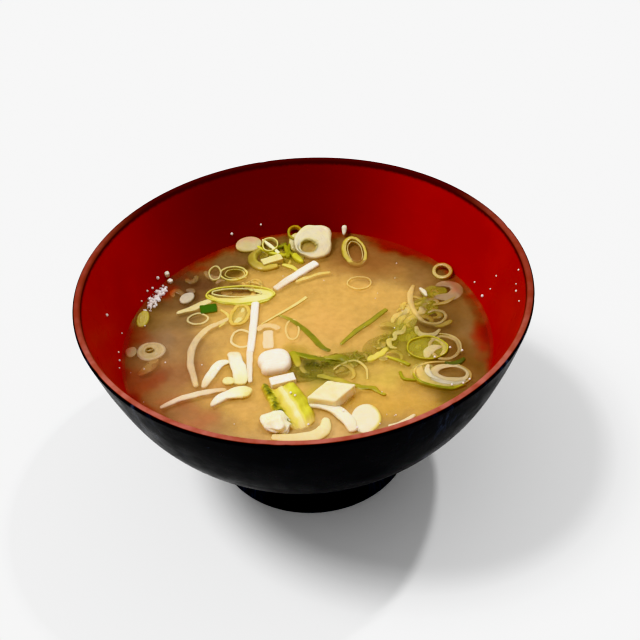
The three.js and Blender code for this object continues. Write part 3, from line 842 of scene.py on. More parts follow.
# rings: the loops and bands of one slice, in the slice's own plan; a band is a strand of its own
rings = {
    "leekOvalLeft": dict(slot="leek_green", at=(-23.4, 26.8), rise=0.2, turn=-5, loops=[
        ((12.7, 5.3), 0.7, 2, 0.46, 0.12, 5, dict(edge=0.56)),
        ((9.2, 2.6), 0.5, 1.6, 0.26, 0.2, 6, dict(offset=(-1.4, 1.2))),
    ], bands=[
        (((-12, 0.2), (-7.6, -3.2), (0, -3.6), (7, -2.8), (10.6, -0.4), (8.4, 1.8), (2.6, 3.4)),
         (0.8, 2.4, 3.6, 4.8, 4.6, 2.2, 0.9), 1.4, 0.1, (0.44, 0.38, 0.3, 0.26, 0.3, 0.36),
         (0.4, 0.2, 0, 0, 0), 7, dict(edge=(0.6, 0.52, 0.46, 0.42, 0.46), grooves=2, square=0.5)),
    ]),
    "leekRingFarLeft": dict(slot="leek_white", at=(-26, 39.8), rise=0.1, turn=-10, loops=[
        ((5.3, 4.5), 0.8, 1.9, 0.3, 0.35, 8, dict(edge=0.44)),
        ((3.9, 3), 0.45, 1.5, 0.34, 0.5, 9, dict(offset=(0.5, -0.2))),
    ]),
    "leekRingLeft": dict(slot="leek_rim", at=(-23.4, 15.6), rise=0.15, turn=-14, loops=[
        ((3.8, 6.2), 1.3, 1.6, 0.62, 0.66, 12, dict(edge=0.7, inner=0.56, wobble=0.05, grooves=2)),
    ], bands=[
        (((-0.6, -4.8), (0.2, -2), (0.6, 1.4), (0.2, 4.4)), (0.8, 3.2, 2.4, 0.8), 0.8, -0.2, 0.2, 0.4, 14),
    ]),
    "leekRingBackRight": dict(slot="leek_rim", at=(19.3, 48.4), rise=0.5, turn=8, pitch=12, loops=[
        ((4.6, 7.6), 1.5, 2.3, 0.44, 0.45, 15, dict(hole=(0.5, 0.2), edge=0.7, inner=0.36, grooves=2)),
        ((2.9, 5.4), 0.4, 1.5, 0.26, 0.6, 16, dict(offset=(0.4, 0))),
    ]),
    "leekRingRightBack": dict(slot="leek_white", at=(50.6, 32.6), rise=1.2, turn=-56, pitch=20, loops=[
        ((4, 3.4), 1.4, 1.8, 0.3, 0.62, 17, dict(edge=0.42, grooves=2)),
    ]),
    "leekRingRight": dict(slot="leek_rim", at=(40.6, -7.8), rise=0.25, turn=-6, loops=[
        ((7.1, 6), 0.6, 2, 0.66, 0.14, 19, dict(edge=0.86, inner=0.46)),
    ], bands=[
        (((1.2, 5.2), (4.8, 3.4), (6, -0.4), (4.4, -3.8)), (0.8, 1.9, 2.2, 0.9), 1.4, -0.1, 0.3, 0.68, 22),
    ]),
    "leekRingFrontRight": dict(slot="leek_rim", at=(44, -21), rise=0.2, turn=-10, loops=[
        ((9.6, 6.4), 0.9, 1.4, 0.3, 0.8, 23, dict(edge=0.4)),
        ((6.6, 4.5), 2, 1.6, 0.12, 0.7, 24, dict(hole=(0.9, 0.5), edge=0.3, grooves=2, offset=(2.4, 0.4))),
    ], bands=[
        (((-7.4, 4), (-6.9, 0.2), (-4.6, -3), (0, -4.9), (4.8, -4.6), (8.2, -2.4)),
         (1.4, 3.4, 3.8, 3, 2.2, 1), 1.5, 0.05, 0.3, (0.78, 0.72, 0.68, 0.66, 0.68, 0.76), 26,
         dict(grooves=3)),
        (((-4.6, 4.4), (-4.8, 1), (-3, -2.2), (1, -4), (5, -4.2), (8, -2.4)), (1, 2.2, 2.4, 2.2, 1.8, 0.8),
         1.6, 0.1, 0.08, (0.7, 0.5, 0.5, 0.54, 0.6, 0.7), 27),
        (((-9.4, -0.6), (-7.4, -4.2), (-2.6, -6.3), (3, -6.7), (7.8, -4.5)), (0.6, 1.2, 1.3, 1.5, 0.6), 2.2,
         0.15, (0.66, 0.82, 0.84, 0.7), 0, 28, dict(inner=0.5)),
    ]),
}


def loopOf(row):
    # radii, wall, height, greenness, how sunk, seed, and what else is its own, such as its offset
    more = dict(*row[6:])
    x, y = more.pop("offset", (0, 0))
    shape = settle(ring(*row[:6], **more))
    return {**shape, "points": shape["points"] + (x, y, 0)}


for name, made in rings.items():
    parts = [loopOf(row) for row in made["loops"]]
    parts += [settle(strandOf(row)) for row in made.get("bands", ())]
    makeLeek(name, placeBy(joined(parts), made), made["slot"])
print("rings made")

# whole slices without a hole
slices = {
    "leekSliceFront": dict(at=(17.6, -39.4), rise=0.1, turn=-12, shape=dict(
        radii=(4.9, 6.3), height=2, layers=2, ridge=0.03, green=0.04, edge=0.44, edgeFrom=10, sunk=0.24,
        seed=61)),
    "leekSliceBackLeft": dict(at=(-20.6, 56.2), rise=1.3, turn=24, pitch=16, shape=dict(
        radii=(5, 3.8), height=1.6, layers=1, ridge=0.03, green=0.16, edge=0.34, edgeFrom=250, sunk=0.6,
        seed=62)),
    "leekRingSoft": dict(at=(-53.6, -1), rise=0, shape=dict(
        radii=(5, 4.9), height=1.8, layers=2, ridge=0.2, green=0.2, edge=0.04, sunk=0.79, seed=63)),
}

for name, made in slices.items():
    makeLeek(name, placeBy(settle(plate(**made["shape"])), made), "leek_white")


# ---- the larger pieces of leek

# the split leaf, one sheet: its section from left to right is place in half widths, height, greenness and
# how sunk
gutter = {
    "path": ((-10.9, -19.4), (-8.9, -25), (-6.2, -31.3), (-3.8, -37.4), (-1.9, -43.4)),
    "width": (10.6, 12, 12.6, 11.8, 9.8),
    "section": ((-1, -1.3, 0.6, 0.5), (-0.96, 0.3, 0.6, 0.2), (-0.88, 1.2, 0.66, 0.05),
                (-0.76, 1.5, 0.82, 0), (-0.6, 1.2, 0.82, 0), (-0.48, 0.6, 0.62, 0.15),
                (-0.34, 0.35, 0.56, 0.45), (-0.2, 0.5, 0.46, 0.3), (-0.08, 0.95, 0.28, 0.08),
                (0.12, 1.1, 0.22, 0.04), (0.26, 0.7, 0.4, 0.1), (0.38, 1.2, 0.6, 0.03), (0.6, 1.6, 0.58, 0),
                (0.84, 1.2, 0.62, 0), (0.95, 0.4, 0.62, 0.2), (1, -1.3, 0.62, 0.5)),
    "later": 0.12,  # how much further along its right side starts
}
stump = {"at": (3.9, 53), "rise": 1.6, "pitch": 16}
lump = {"at": (-10.3, -39.6), "rise": 0.5, "turn": 20, "radii": (4.7, 5.4, 3), "cuts": 15}
slabBack = {"at": (-11.7, 44.9), "rise": 0.7, "turn": 22, "size": (7.8, 3.6, 3)}


def makeGutter():
    # a grid along the path and across the section, with a flat underside; its left rib is blistered, and
    # its ends are rounded in plan and dip under the broth
    rows, columns = 110, 70
    base = gutter["section"][0][1]
    across = np.linspace(-1, 1, columns)[None]
    share = np.linspace(0, 1, rows)[:, None]
    section = np.array(gutter["section"])
    height, green, sunk = (np.interp(across, section[:, 0], section[:, k]) for k in (1, 2, 3))
    line, length = smoothPath(gutter["path"], 300)
    start = gutter["later"] * smoothStep(-0.8, -0.3, across)
    along = start + (1 - 0.1 * across ** 2 - start) * share
    middle = np.stack([np.interp(along, np.linspace(0, 1, 300), line[:, k]) for k in (0, 1)], -1)
    ahead = unit(np.gradient(line, axis=0))
    ahead = np.stack([np.interp(along, np.linspace(0, 1, 300), ahead[:, k]) for k in (0, 1)], -1)
    half = spread(gutter["width"], along.ravel()).reshape(along.shape) / 2
    bent = across + 0.03 * waves(np.stack([along * 20, across * 4 + 0 * along, 0 * along], -1), 5, 181)
    plan = middle + (bent * half)[..., None] * np.stack([-ahead[..., 1], ahead[..., 0]], -1)
    places = np.concatenate([plan, 0 * along[..., None]], -1)
    rib = smoothStep(-0.35, -0.55, across) * smoothStep(-1, -0.9, across)
    blister = 0.6 * waves(places, 0.9, 182) + 0.6 * waves(places, 2, 184)
    inside = smoothStep(0, 0.06, share) * smoothStep(1, 0.93, share)
    ripple = waves(places * (1, 0.25, 1), 2.2, 183) * smoothStep(1, 0.8, share)
    top = base + (height - base + 0.3 * blister * rib * smoothStep(1, 0.85, share) + 0.12 * ripple) * inside
    top -= 0.6 * smoothStep(0.7, 1, share) * (1 + across)
    green = green + 0.13 * blister * rib + 0.05 * ripple
    sunk = np.maximum(sunk, 0.8 * smoothStep(0.72, 1, share)) + 0.2 * smoothStep(0.12, 0, share)
    under = np.concatenate([plan[:, ::-1], np.full((rows, columns, 1), base)], -1)
    points = np.concatenate([np.concatenate([plan, np.maximum(top, base)[..., None]], -1), under], 1)
    both = (along * length, bent * half, green, np.clip(sunk, 0, 1))
    x, y, green, sunk = (np.concatenate([b, b[:, ::-1]], 1) for b in both)
    shape = part(points, gridFaces(rows, 2 * columns), (x, y, 0), green, sunk)
    makeLeek("leekGutter", place(shape), "leek_green")


def makeStump():
    # a broad ring facing up and forwards, drawn out to corners and bent up behind, with a thin loop round
    # its hole
    face = [
        ring((6.7, 6.8), 4, 2.8, 0.05, 0.5, 205, (-1.9, -1.8), edge=0.1, inner=0.36, grooves=3, rise=0.3),
        ring((4, 3.4), 0.6, 1.6, 0.28, 0.62, 206, rise=0.5),
        plate((3.6, 3.2), 0.5, 1, green=0.66, sunk=0.86, seed=207),
        plate((3, 4), 1.6, 1, 0.04, 0.5, green=0.2, edge=0.34, sunk=0.6, seed=209),
    ]
    for shape, x, y, z in zip(face[1:], (-1.9, -2, -6.2), (-1.8, -1.8, 1.6), (0.3, 0.3, -0.7)):
        shape["points"] += (x, y, z)
    shape = joined(face)
    x, y, _ = shape["points"].T
    bearing = np.degrees(np.arctan2(y, x))
    corner = 0.38 * np.exp(-((bearing - 48) / 26) ** 2) + 0.1 * np.exp(-((bearing - 112) / 30) ** 2)
    corner += 0.12 * np.exp(-((bearing + 45) / 30) ** 2)
    shape["points"] *= 1 + (smoothStep(3, 7, np.hypot(x, y)) * corner)[:, None] * (1, 1, 0)
    shape["points"][:, 2] += 0.03 * np.maximum(shape["points"][:, 1], 0) ** 2
    shape["tint"][:, 1] *= 1 - 0.35 * smoothStep(-2, 5, y)
    makePiece("leekStump", placeBy(shape, stump), paints["leek_white"], "leek_white", "leek_stump_back")


def makeLump():
    # a crumpled ball: cut by random planes, so that along u its radius is the softened least of
    # reach / (u . normal), and scaled by small folds, one minus the size of a wave
    rows, columns = 60, 84
    ball = unitBall(rows, columns)
    rng = np.random.default_rng(12)
    normals = unit(rng.normal(0, 1, (lump["cuts"], 3)))
    reach = rng.uniform(0.76, 0.98, lump["cuts"]) / np.maximum(ball @ normals.T, 0.12)
    cut = (reach ** -9).sum(-1) ** (-1 / 9)
    folds = 1 - np.abs(waves(ball * 3, 2.6, 9))
    points = ball * np.array(lump["radii"]) * (np.minimum(cut, 1.15) * (0.94 + 0.14 * folds))[..., None]
    sunk = -0.9 + 0.1 * smoothStep(0.6, 0.2, folds) + 0.6 * smoothStep(0.1, -0.5, ball[..., 2])
    v, angle = np.linspace(0, np.pi, rows)[:, None], bearings(columns)
    shape = part(points, gridFaces(rows, columns), (angle * 3, v * 3, 0), 0.06, sunk)
    makeLeek("leekLump", placeBy(shape, lump), "leek_white")


def makeSlabBack():
    shape = placeBy(roundedBox(slabBack["size"], 0.4, 14, 0.12, 12), slabBack)
    shape["tint"][:] = (0.25, 0.22, 0)
    makeLeek("leekSlabBack", shape, "leek_white")


makeGutter()
makeStump()
makeLump()
makeSlabBack()
print("larger leek made")


# ---- tofu and mushroom

tofu = {
    "at": (7.3, -29.6), "rise": 0.9, "size": (10, 9.4, 6), "ease": 0.6,
    "edges": (46, -16),  # directions of its two cut sides in plan
    "curd": ((246, 230, 172), (255, 240, 196)), "pore": (214, 192, 132),
}
mushroom = {
    "flesh": ((253, 242, 218), (255, 250, 236)), "bruise": (240, 220, 180),
    "cap": {"at": (-11.2, -11.4), "rise": 0.5, "turn": 8, "radii": (5.7, 5.9), "height": 6},
    "slab": {"at": (-8.5, -20.3), "rise": 0.3, "turn": 15, "size": (8.4, 3.6, 3)},
    "long": {"path": ((-17.8, 21.6), (-18.1, 14), (-18.9, 5), (-19.5, -5)), "width": (2.9, 2.8, 2.7, 2.6),
             "height": 2.4, "rise": (0.7, 0.5, 0.4, 0.3), "ends": 0.35, "seed": 151},
    "back": {"path": ((5, 42.8), (-3.2, 35.9), (-10.9, 29)), "width": (3.5, 3.3, 2.9), "height": 2.6,
             "rise": (1, 0.7, 0.1), "sunk": (0, 0, 0.45), "ends": 0.4, "seed": 161},
}

# seen through the broth: a cap, a stem and a thread
mushroomSunk = [
    (((-17, 6.4), (-15, 8.8), (-11.8, 8.8), (-9.4, 6.4)), 2.4, 1.2, -0.25, 0, 0.85, 171),
    (((-13.3, 6.4), (-13.2, 1), (-13.3, -3.4)), (3.4, 4, 3.8), 1.2, -0.35, 0, 0.6, 172, dict(ends=0.4)),
    (((-19.5, -4.4), (-19.5, -12), (-19.2, -20)), (2.4, 2, 1.4), 1.4, 0, 0, 0.3, 173, dict(ends=0.4)),
]


def tofuPaint():
    paint, tree, shader = newPaint("tofuCurd", Roughness=0.42, Specular_IOR_Level=0.15, Subsurface_Weight=0.6,
                                   Subsurface_Scale=3 * mm, Subsurface_Radius=(1, 0.8, 0.45))
    spot = objectPlace(tree)
    pores = grain(spot, 0.9, 4, 0.65)
    colour = blend(lumps(spot, 2.6, 0.3, 0.7, detail=4), *tofu["curd"])
    colour = blend(between(pores, 0.66, 0.76, 0, 0.3), colour, tofu["pore"])
    feed(shader, "Base Color", drowned(colour, 0.0, -0.2, 1.8))
    bump(shader, pores, 0.35, 0.12)
    return paint


def mushroomPaint():
    paint, tree, shader = newPaint("mushroomFlesh", Roughness=0.36, Specular_IOR_Level=0.2, Coat_Weight=0.06,
                                   Coat_Roughness=0.15, Subsurface_Weight=0.45, Subsurface_Scale=2 * mm,
                                   Subsurface_Radius=(1, 0.86, 0.6))
    spot, form = objectPlace(tree), attribute(tree, "form")
    fibres = fibresOf(form, (0.2, 3, 0.4), 1.4, 2)
    colour = blend(between(fibres, 0.3, 0.7), *mushroom["flesh"])
    colour = blend(lumps(spot, 3.5, 0.58, 0.8, 0, 0.25), colour, mushroom["bruise"])
    sunk = axes(attribute(tree, "tint"))["Y"]
    feed(shader, "Base Color", drowned(colour, sunk))
    bump(shader, figure("ADD", fibres, grain(spot, 1.1, 3)), 0.12, 0.1)
    return paint


def makeTofu():
    # the box's two plan axes are turned apart to the directions of its cut sides
    shape = roundedBox(tofu["size"], tofu["ease"], 26, 0.08, 31)
    first, second = np.radians(tofu["edges"])
    x, y, z = shape["points"].T
    across = x * np.cos(first) + y * np.cos(second)
    along = x * np.sin(first) + y * np.sin(second)
    shape["points"] = np.stack([across, along, z], 1)
    makePiece("tofuCube", placeBy(shape, tofu), tofuPaint(), "tofu", "tofu_cube")


def makeMushroom():
    # the cap is a dome turned about Z: radius cos(v)^0.5, height 0.5 above and 0.44 below the middle, with
    # a notch at one side
    paint = mushroomPaint()
    cap = mushroom["cap"]
    rows, segments = 44, 88
    v = np.linspace(-np.pi / 2, np.pi / 2, rows)
    rise = np.where(v > 0, 0.5, 0.44) * cap["height"] * np.sign(v) * np.abs(np.sin(v)) ** 0.9
    points = turned(np.column_stack([np.cos(v) ** 0.5, rise]), segments)
    angle = bearings(segments)
    dent = (1 - 0.12 * np.exp(-((angle - math.radians(196)) / 0.26) ** 2) + 0.04 * np.cos(2 * angle - 0.6)
            - 0.045 * np.cos(4 * angle) + 0.03 * np.cos(angle - 0.9))
    points[..., 0] *= cap["radii"][0] * dent
    points[..., 1] *= cap["radii"][1] * dent
    shape = part(points, gridFaces(rows, segments), (points[..., 0], points[..., 1], 0))
    makePiece("mushroomCap", placeBy(shape, cap), paint, "mushroom", "mushroom_cap")
    slab = mushroom["slab"]
    shape = placeBy(roundedBox(slab["size"], 0.3, 16, 0.05, 35), slab)
    makePiece("mushroomSlab", shape, paint, "mushroom", "mushroom_slab")
    for key, node in (("long", "mushroom_stem_long"), ("back", "mushroom_stem_back")):
        stem = place(settle(strand(square=0.75, uneven=0.04, **mushroom[key])))
        makePiece("mushroomStem" + key.title(), stem, paint, "mushroom", node)
    makePiece("mushroomSunk", joined(madeRows(mushroomSunk)), paint, "mushroom")


makeTofu()
makeMushroom()
print("tofu and mushroom made")


# ---- the finer pieces on and in the broth, one joined mesh for each kind, their strands in rows as above

thinShreds = [
    (((0.8, 23.5), (-7.2, 16.3), (-15.7, 9.4)), (1.3, 1, 0.5), 0.7, 0.15, 0.3, (0.3, 0.25, 0.5), 301),
    (((30.4, -18.6), (31.4, -22.4), (35.5, -23.6)), (1, 1, 0.7), 1, 0.1, 0.74, 0, 302),
    (((26.4, -10.9), (30.6, -13.3), (34, -16)), (0.7, 1.3, 1.4), 1, 0.1, (0.55, 0.7, 0.74), 0, 303),
    (((-5.4, -5.3), (-3.9, -9.6), (-2.8, -13.6)), (2.6, 3, 2), 1, (0.1, 0, -0.3), (0.76, 0.7, 0.64),
     (0, 0.15, 0.5), 304),
    (((45.4, -15.4), (47.6, -16.3), (50.4, -15.8), (52.8, -13.8)), (0.8, 1.9, 2.1, 1), 1.2, 0, 1, 0.04, 305,
     dict(inner=1)),
    (((-6.7, 54.9), (-5.9, 51), (-5.7, 46.5)), (1.4, 2.2, 1.4), 1.8, 0.5, 0.72, 0, 306),
    (((-3.8, 49.4), (-2.4, 46.4), (-0.1, 43.5)), (2.2, 2.4, 1.4), 1.8, 0.4, 0.58, 0, 307),
    (((-15.5, 59.2), (-12.1, 54.8), (-8.7, 49.3)), (0.9, 1.4, 1.2), 1.4, 0.6, 0.14, 0, 308),
    (((-17.4, 55.6), (-13.2, 51.8), (-9.4, 49.6)), 1.2, 1.2, 0.4, 0.5, 0, 309),
    (((-8.2, 43.6), (-4.4, 41.4), (-2.1, 38.6)), (1, 2, 1), 1, 0.1, 0.44, 0.2, 310),
    (((-12.5, 53.6), (-8.7, 53.8), (-6.2, 56.2)), 1.2, 1.4, 0.5, 0.82, 0, 311),
    (((-9.6, 50), (-7, 48.6), (-4.6, 50.2)), (1, 2, 1.4), 1.6, 0.5, 0.66, 0, 312),
    (((-3.8, 47.6), (-5.2, 52.6), (-2.8, 58.6), (1.6, 61)), (0.8, 1.2, 1.2, 0.8), 1.8, (0.4, 1, 1.6), 0.74,
     0, 313),
    # the ruffled dark leaf
    (((2.9, -18.2), (8.7, -20.4), (15.8, -24.1), (20, -25.6), (25.2, -29.4)), (1.2, 2, 2.2, 1.8, 0.8), 0.7,
     0, (0.8, 0.7, 0.78, 0.7), (0.6, 0.3, 0.12, 0.1), 314, dict(uneven=0.4, wander=0.3)),
    (((4.9, -9.6), (9.3, -10.2), (14.3, -11.2), (18, -10.4)), (1.4, 3, 3.4, 1.4), 0.7, 0, (0.74, 0.86, 0.8),
     (0.2, 0.25, 0.5), 315, dict(uneven=0.4, wander=0.4)),
    (((-5, -12), (-1, -14.6), (3.9, -16.4), (9.4, -16)), (2, 4.2, 3.6, 1.4), 0.6, -0.2, 0.9,
     (0.4, 0.3, 0.6), 316, dict(uneven=0.4, wander=0.5)),
]

sunkStrands = [
    (((-26.8, -22.4), (-31, -22.9), (-36.6, -23.8), (-43, -25.8), (-48.6, -29.4)), (1.4, 2.4, 2.7, 2.4, 1.4),
     1.4, -0.2, 0.02, (0.8, 0.55, 0.44, 0.52, 0.78), 321),
    (((-46.1, 18.6), (-40, 21.4), (-33.6, 25)), (1.4, 3.2, 2.4), 1.2, -0.2, 0.2, 0.5, 322),
    (((8.2, -16), (11.8, -12.8), (16.5, -12.2), (19.3, -16.4), (19.4, -21.6)), (0.5, 0.9, 1, 0.8, 0.5), 0.8,
     -0.05, 0.24, 0.76, 323),
    (((24, -43.4), (28.6, -42.2), (33.4, -38.6)), (1.4, 2, 1), 0.9, -0.2, 0.06, 0.5, 324),
    (((-28.6, -18.2), (-26.2, -18.6), (-24.2, -19.2)), (3, 3.6, 2.6), 1.6, 0.1, 0.24, 0.14, 325),
    (((-3.5, 33), (4, 36.5), (10, 37.6)), (1.6, 2, 1.2), 1, -0.4, 0.3, 0.55, 326),
    (((-50.8, -4.6), (-52.8, -8), (-55, -11), (-57.2, -12.8)), (2, 4.4, 3.6, 1.6), 0.8, -0.2, 0.9,
     (0.9, 0.84, 0.84, 0.9), 328),
    (((-30.4, 19.4), (-27.4, 14.6), (-30.6, 9.6)), (0.8, 1.3, 0.8), 1, -0.2, 0.34, 0.5, 327),
]

# place, rise, radii, wall, height, greenness, how sunk, seed, and what else is its own
sunkRings = [
    ((-22.3, 2.6), -0.1, (4.2, 5), 0.9, 1, 0.1, 0.6, 341),
    ((-54, -1), 0.7, (1.4, 1.1), 0.45, 1, 0.8, 0.76, 350),
    ((-38.2, 14.8), -0.1, (4, 3.4), 0.8, 0.9, 0.2, 0.6, 342),
    ((-32.9, 40.4), -0.1, (2.5, 4.5), 0.7, 1.6, 0.26, 0.5, 343),
    ((-4.8, 6), -0.1, (2.6, 5.6), 0.7, 0.8, 0.2, 0.82, 344),
    ((-2.6, 60), 2.4, (3, 4.6), 1, 1.8, 0.66, 0.3, 346, dict(edge=0.8)),
    ((-12.4, 55.2), 0.7, (3.1, 4.5), 0.6, 2, 0.3, 0.05, 347, dict(edge=0.5)),
    ((20, 30), -0.1, (4.6, 3.9), 0.6, 0.9, 0.26, 0.8, 348),
    ((46.4, -8), -0.1, (5.6, 6.4), 1.3, 1, 0.2, 0.84, 349),
]

curlyLeek = [
    (((34, 4.6), (32.6, 1.6), (30.2, 0.2), (29.6, -2.6), (27.4, -3.4), (28.4, -5.8), (30.8, -6.4)),
     (0.8, 2.6, 1.5, 2, 1), 0.9, 0.1, (0.3, 0.2, 0.34, 0.26), (0.88, 0.78, 0.66, 0.76), 361,
     dict(wander=0.5)),
    (((35.6, 14), (33.6, 9), (32, 4.6)), (1, 2.4, 1), 0.8, -0.15, 0.4, 0.86, 362),
    (((39.6, -12.9), (40.6, -10), (42.9, -8), (45.9, -7.8)), (1.4, 3.6, 3.2, 1), 1, 0.05, 0.1,
     (0.84, 0.72, 0.7, 0.84), 363),
    (((41.3, 24.2), (42.8, 22), (43.6, 19.4)), (0.8, 1.8, 0.8), 1.4, 0.3, 0.04, 0.35, 364),
    (((45, 14.6), (50, 16), (54, 19)), (1, 1.8, 1), 1, -0.1, 0.36, 0.8, 365),
    (((37.6, 3.6), (39.6, -0.6), (43.4, -1.6), (46, 1.4)), (1.2, 2.4, 2.2, 1), 1, -0.1, 0.2, 0.76, 366,
     dict(wander=0.4)),
    (((30.4, 6.4), (31.8, 10.2), (35.8, 12.6), (36.8, 17)), (1.2, 2.6, 2.2, 1), 1, -0.1, 0.3, 0.8, 367,
     dict(wander=0.4)),
]

# see-through inner skins of the slices: place, turn, radii and greenness
veils = [
    ((-23.4, 15.4), -14, (3, 5.2), 0.42), ((40.6, -7.8), -6, (6.6, 5.4), 0.5),
    ((38, -19.6), -10, (4.4, 4.6), 0.36), ((42.6, 14.4), 20, (4.4, 5), 0.6), ((34, 1), 50, (5, 4.4), 0.6),
    ((35, 7), -24, (3.6, 7), 0.4), ((-12, 50), 30, (4.8, 3.4), 0.7), ((-4.4, 46.4), -20, (4.4, 3.4), 0.7),
    ((46.4, 22), 10, (5, 3.6), 0.5), ((4, -15.4), -10, (10, 5), 0.96), ((-1, -17), 10, (6, 4), 0.94),
    ((14, -11), 4, (8, 3.4), 0.9), ((25, -5), 30, (7, 4.4), 0.84),
]

# loose scraps sunk in the broth: place, reach and how many, then the least and most of their radius, width,
# greenness and how sunk, and the seed
scraps = [
    ((-9, 50), (10, 6), 18, (1, 3), (1, 2.6), (0.5, 0.9), (0.5, 0.75), 501),
    ((-38, 36), (12, 11), 8, (1.8, 4), (1.4, 3), (0, 0.3), (0.92, 0.97), 502),
    ((42, 14), (8, 12), 12, (2, 5), (1, 3.4), (0.2, 0.6), (0.78, 0.88), 503),
    ((4, -15), (12, 5), 14, (2, 5), (1.4, 3.4), (0.86, 1), (0.6, 0.8), 506),
    ((14, -11), (8, 3), 20, (0.6, 1.8), (0.6, 1.6), (0.7, 1), (0.4, 0.7), 511),
    ((29, -4), (8, 9), 16, (0.8, 3.4), (1, 3), (0.6, 0.95), (0.7, 0.84), 507),
    ((-22, 34), (12, 6), 7, (1.4, 4), (1, 2.4), (0.5, 0.8), (0.86, 0.94), 508),
]
wallClear = 60.5  # scraps that reach further out would meet the wall


def emeraldFlake():
    shape = place(roundedBox((6, 4.6, 0.9), 0.3, 10, 0.06, 44), (-34.6, 19.9), 0.15, 8)
    shape["tint"][:] = (0.95, 0, 1)
    return shape


def scrap(rng, at, reach, radii, widths, greens, depths):
    # one bent strip: part of an oval of its own size, turned and set at random inside the patch
    angle = rng.uniform(0, 2 * np.pi)
    out = math.sqrt(rng.uniform(0, 1))
    centre = np.array(at) + np.array(reach) * out * np.array([math.cos(angle), math.sin(angle)])
    radius, squeeze, sweep = rng.uniform(*radii), rng.uniform(0.5, 1), rng.uniform(60, 280)
    start, turn = rng.uniform(0, 360), rng.uniform(0, np.pi)
    a = np.radians(start + np.linspace(0, sweep, 7))
    x, y = radius * np.cos(a), radius * squeeze * np.sin(a)
    path = centre + np.stack([x * np.cos(turn) - y * np.sin(turn), x * np.sin(turn) + y * np.cos(turn)], 1)
    width, green, sunk, rise = (rng.uniform(*ends) for ends in (widths, greens, depths, (-0.3, -0.05)))
    made = strand(path, (0.5 * width, width, 0.5 * width), 0.9, rise, green, sunk, int(rng.integers(9999)),
                  edge=min(green + 0.2, 1), around=10, step=0.45, wander=0.2)
    return place(made) if np.linalg.norm(path, axis=1).max() < wallClear else None


def makeFiner():
    makeLeek("thinShreds", joined(madeRows(thinShreds, around=14) + [emeraldFlake()]), "green_shred", False)
    makeLeek("sunkStrands", joined(madeRows(sunkStrands, around=14)), "leek_white", False)
    loops = [place(ring(*row[:6], around=12, **dict(*row[6:])), at, rise) for at, rise, *row in sunkRings]
    makeLeek("sunkRings", joined(loops), "leek_rim", False)
    makeLeek("curlyLeek", joined(madeRows(curlyLeek, around=16)), "leek_white", False)
    loose = []
    for at, reach, count, *ends, seed in scraps:
        rng = np.random.default_rng(seed)
        loose += [scrap(rng, at, reach, *ends) for _ in range(count)]
    makeLeek("sunkScraps", joined([shape for shape in loose if shape]), "leek_rim", False)
    skins = [place(plate(radii, 0.5, 2, 0.03, green=green, seed=420 + k), at, 0.05, turn)
             for k, (at, turn, radii, green) in enumerate(veils)]
    makePiece("leekVeils", joined(skins), leekVeil, "leek_white")
    pale = [
        place(plate((2.3, 4), 1.4, 2, green=0.4, edge=0.5, sunk=0.4, seed=401), (-57.8, 16.2), 0.1, -10, 10),
        place(plate((2.5, 3.3), 1.6, 1, 0.02, green=0, sunk=0.6, seed=402), (-42.6, 26.6), 0.2, -30),
        place(plate((2, 2.8), 1, 1, green=0.1, sunk=0.86, seed=403), (-60.4, -0.8), -0.1, 0),
        place(roundedBox((1.9, 2.2, 1.9), 0.6, 6, 0.05, 47), (-50.6, 39.3), 2, 20),
        place(roundedBox((1.8, 1.9, 1.5), 0.5, 6, 0.05, 48), (-49.4, 36.8), 0.6, 50),
        place(strand(((16, 58.6), (16.2, 60), (16.4, 61.4)), (1, 1.8, 2.4), 1.2, (1, 2.4, 4), 0, 0.1, 404)),
    ]
    makeLeek("paleSlices", joined(pale), "leek_white", False)


makeFiner()
print("finer pieces made")


# ---- bubbles, drops on the wall and wet glints

wet = {
    # near-white: partly white foam, partly painted highlight on clear drops
    "paintedGlintTones": ((255, 244, 236), (255, 255, 255)),
    "foamFrom": (-57, 20), "foamTo": (-51.6, 33.4), "foamCount": 110, "looseCount": 40,
    # angle round the bowl, height and size of each drop on the wall
    "drops": ((174.9, 61.3, 0.6), (-177.4, 52, 0.4), (-174.2, 51.4, 0.45), (-170.5, 51.6, 0.35),
              (174, 52.2, 0.35), (114.3, 54.2, 0.6), (103.8, 54.8, 0.45), (1.8, 73.4, 0.4),
              (-2.4, 68.7, 0.45), (13.6, 52.6, 0.6), (11.8, 62.2, 0.35), (20, 53.4, 0.4), (11.6, 57, 0.35),
              (-0.3, 69.6, 0.3), (-7.7, 69.7, 0.35), (146.1, 53, 0.7), (152.5, 52.2, 0.5), (150, 51.6, 0.55),
              (157, 51.4, 0.4)),
    # small beads of broth on the leek, white as painted glints
    "glintSize": 0.4, "glintRise": 1.5,
    "glints": ((-5.9, -27), (-4.5, -28.4), (42.4, -13.9), (48.1, -9.6), (51.9, -11.4), (46.4, -27.6),
               (50.1, -27.2), (52.4, -25.6), (10.6, -36.8), (-13, 45.4), (14.6, -44.4), (-0.6, -41.8)),
}


def beads(centres, sizes):
    # small balls: one unit ball's grid, scaled and moved to each centre at once
    rows, columns = 6, 8
    ball = unitBall(rows, columns)
    points = centres[:, None, None] + ball[None] * sizes[:, None, None, None]
    every = np.arange(len(points))[:, None, None] * (rows * columns) + gridFaces(rows, columns)[None]
    return part(points, every.reshape(-1, 4))


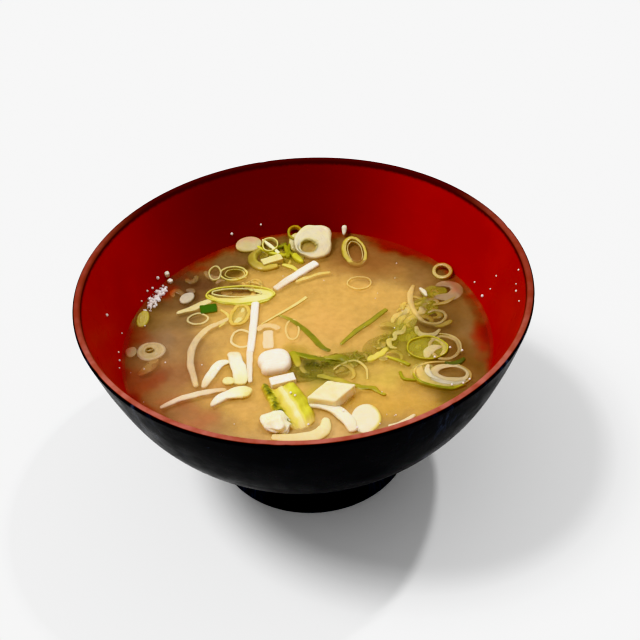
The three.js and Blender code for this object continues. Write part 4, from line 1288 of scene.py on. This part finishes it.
def wetPaint():
    paint, tree, shader = newPaint("wetBeads", Roughness=0.08, Specular_IOR_Level=0.8, Coat_Weight=0.6,
                                   Coat_Roughness=0.04, Alpha=0.9)
    # painted highlight: near-white beads and drops, the foam partly white of its own
    colour = blend(lumps(objectPlace(tree), 2, 0.35, 0.65, detail=2), *wet["paintedGlintTones"])
    feed(shader, "Base Color", colour)
    return paint


def makeWet():
    # foam is scattered about a line at the waterline; drops lie flattened on the wall
    rng = np.random.default_rng(77)
    count = wet["foamCount"]
    along = np.clip(rng.normal(0.62, 0.24, count), 0, 1)[:, None]
    start, end = np.array(wet["foamFrom"]), np.array(wet["foamTo"])
    spot = start + (end - start) * along + rng.normal(0, 1, (count, 2)) * (1, 1.1)
    size = 0.2 + 0.7 * rng.uniform(0, 1, count) ** 2.4
    loose = rng.uniform(0, 2 * np.pi, wet["looseCount"])
    spare = np.column_stack([np.cos(loose), np.sin(loose)]) * rng.uniform(30, 61, wet["looseCount"])[:, None]
    spot, size = np.vstack([spot, spare]), np.concatenate([size, rng.uniform(0.12, 0.3, wet["looseCount"])])
    centre = np.column_stack([spot, brothLevel + 0.3 * size])
    drops = np.array(wet["drops"])
    angle = np.radians(drops[:, 0])
    radius = wallRadius(drops[:, 1]) - 0.25 * drops[:, 2]
    onWall = np.column_stack([radius * np.cos(angle), radius * np.sin(angle), drops[:, 1]])
    glints = np.array(wet["glints"])
    every = np.ones(len(glints))
    onLeek = np.column_stack([glints, every * (brothLevel + wet["glintRise"])])
    groups = [(centre, size), (onWall, drops[:, 2]), (onLeek, every * wet["glintSize"])]
    shape = joined([beads(centres, sizes) for centres, sizes in groups])
    makePiece("wetBeads", shape, wetPaint(), "broth")


makeWet()
print("bubbles and drops made")


# ---- floor

def makeFloor():
    half = studio["floorSize"] / 2 * mm
    mesh = bpy.data.meshes.new("studioFloor")
    corners = [(-half, -half, 0), (half, -half, 0), (half, half, 0), (-half, half, 0)]
    mesh.from_pydata(corners, [], [(0, 1, 2, 3)])
    paint, tree, shader = newPaint("paleFloor", Roughness=0.9, Specular_IOR_Level=0.1)
    colour = blend(grain(objectPlace(tree), 240, 2), *studio["floor"])
    feed(shader, "Base Color", colour)
    mesh.materials.append(paint)
    floor = bpy.data.objects.new("studioFloor", mesh)
    bpy.context.scene.collection.objects.link(floor)


makeFloor()
print("floor made")
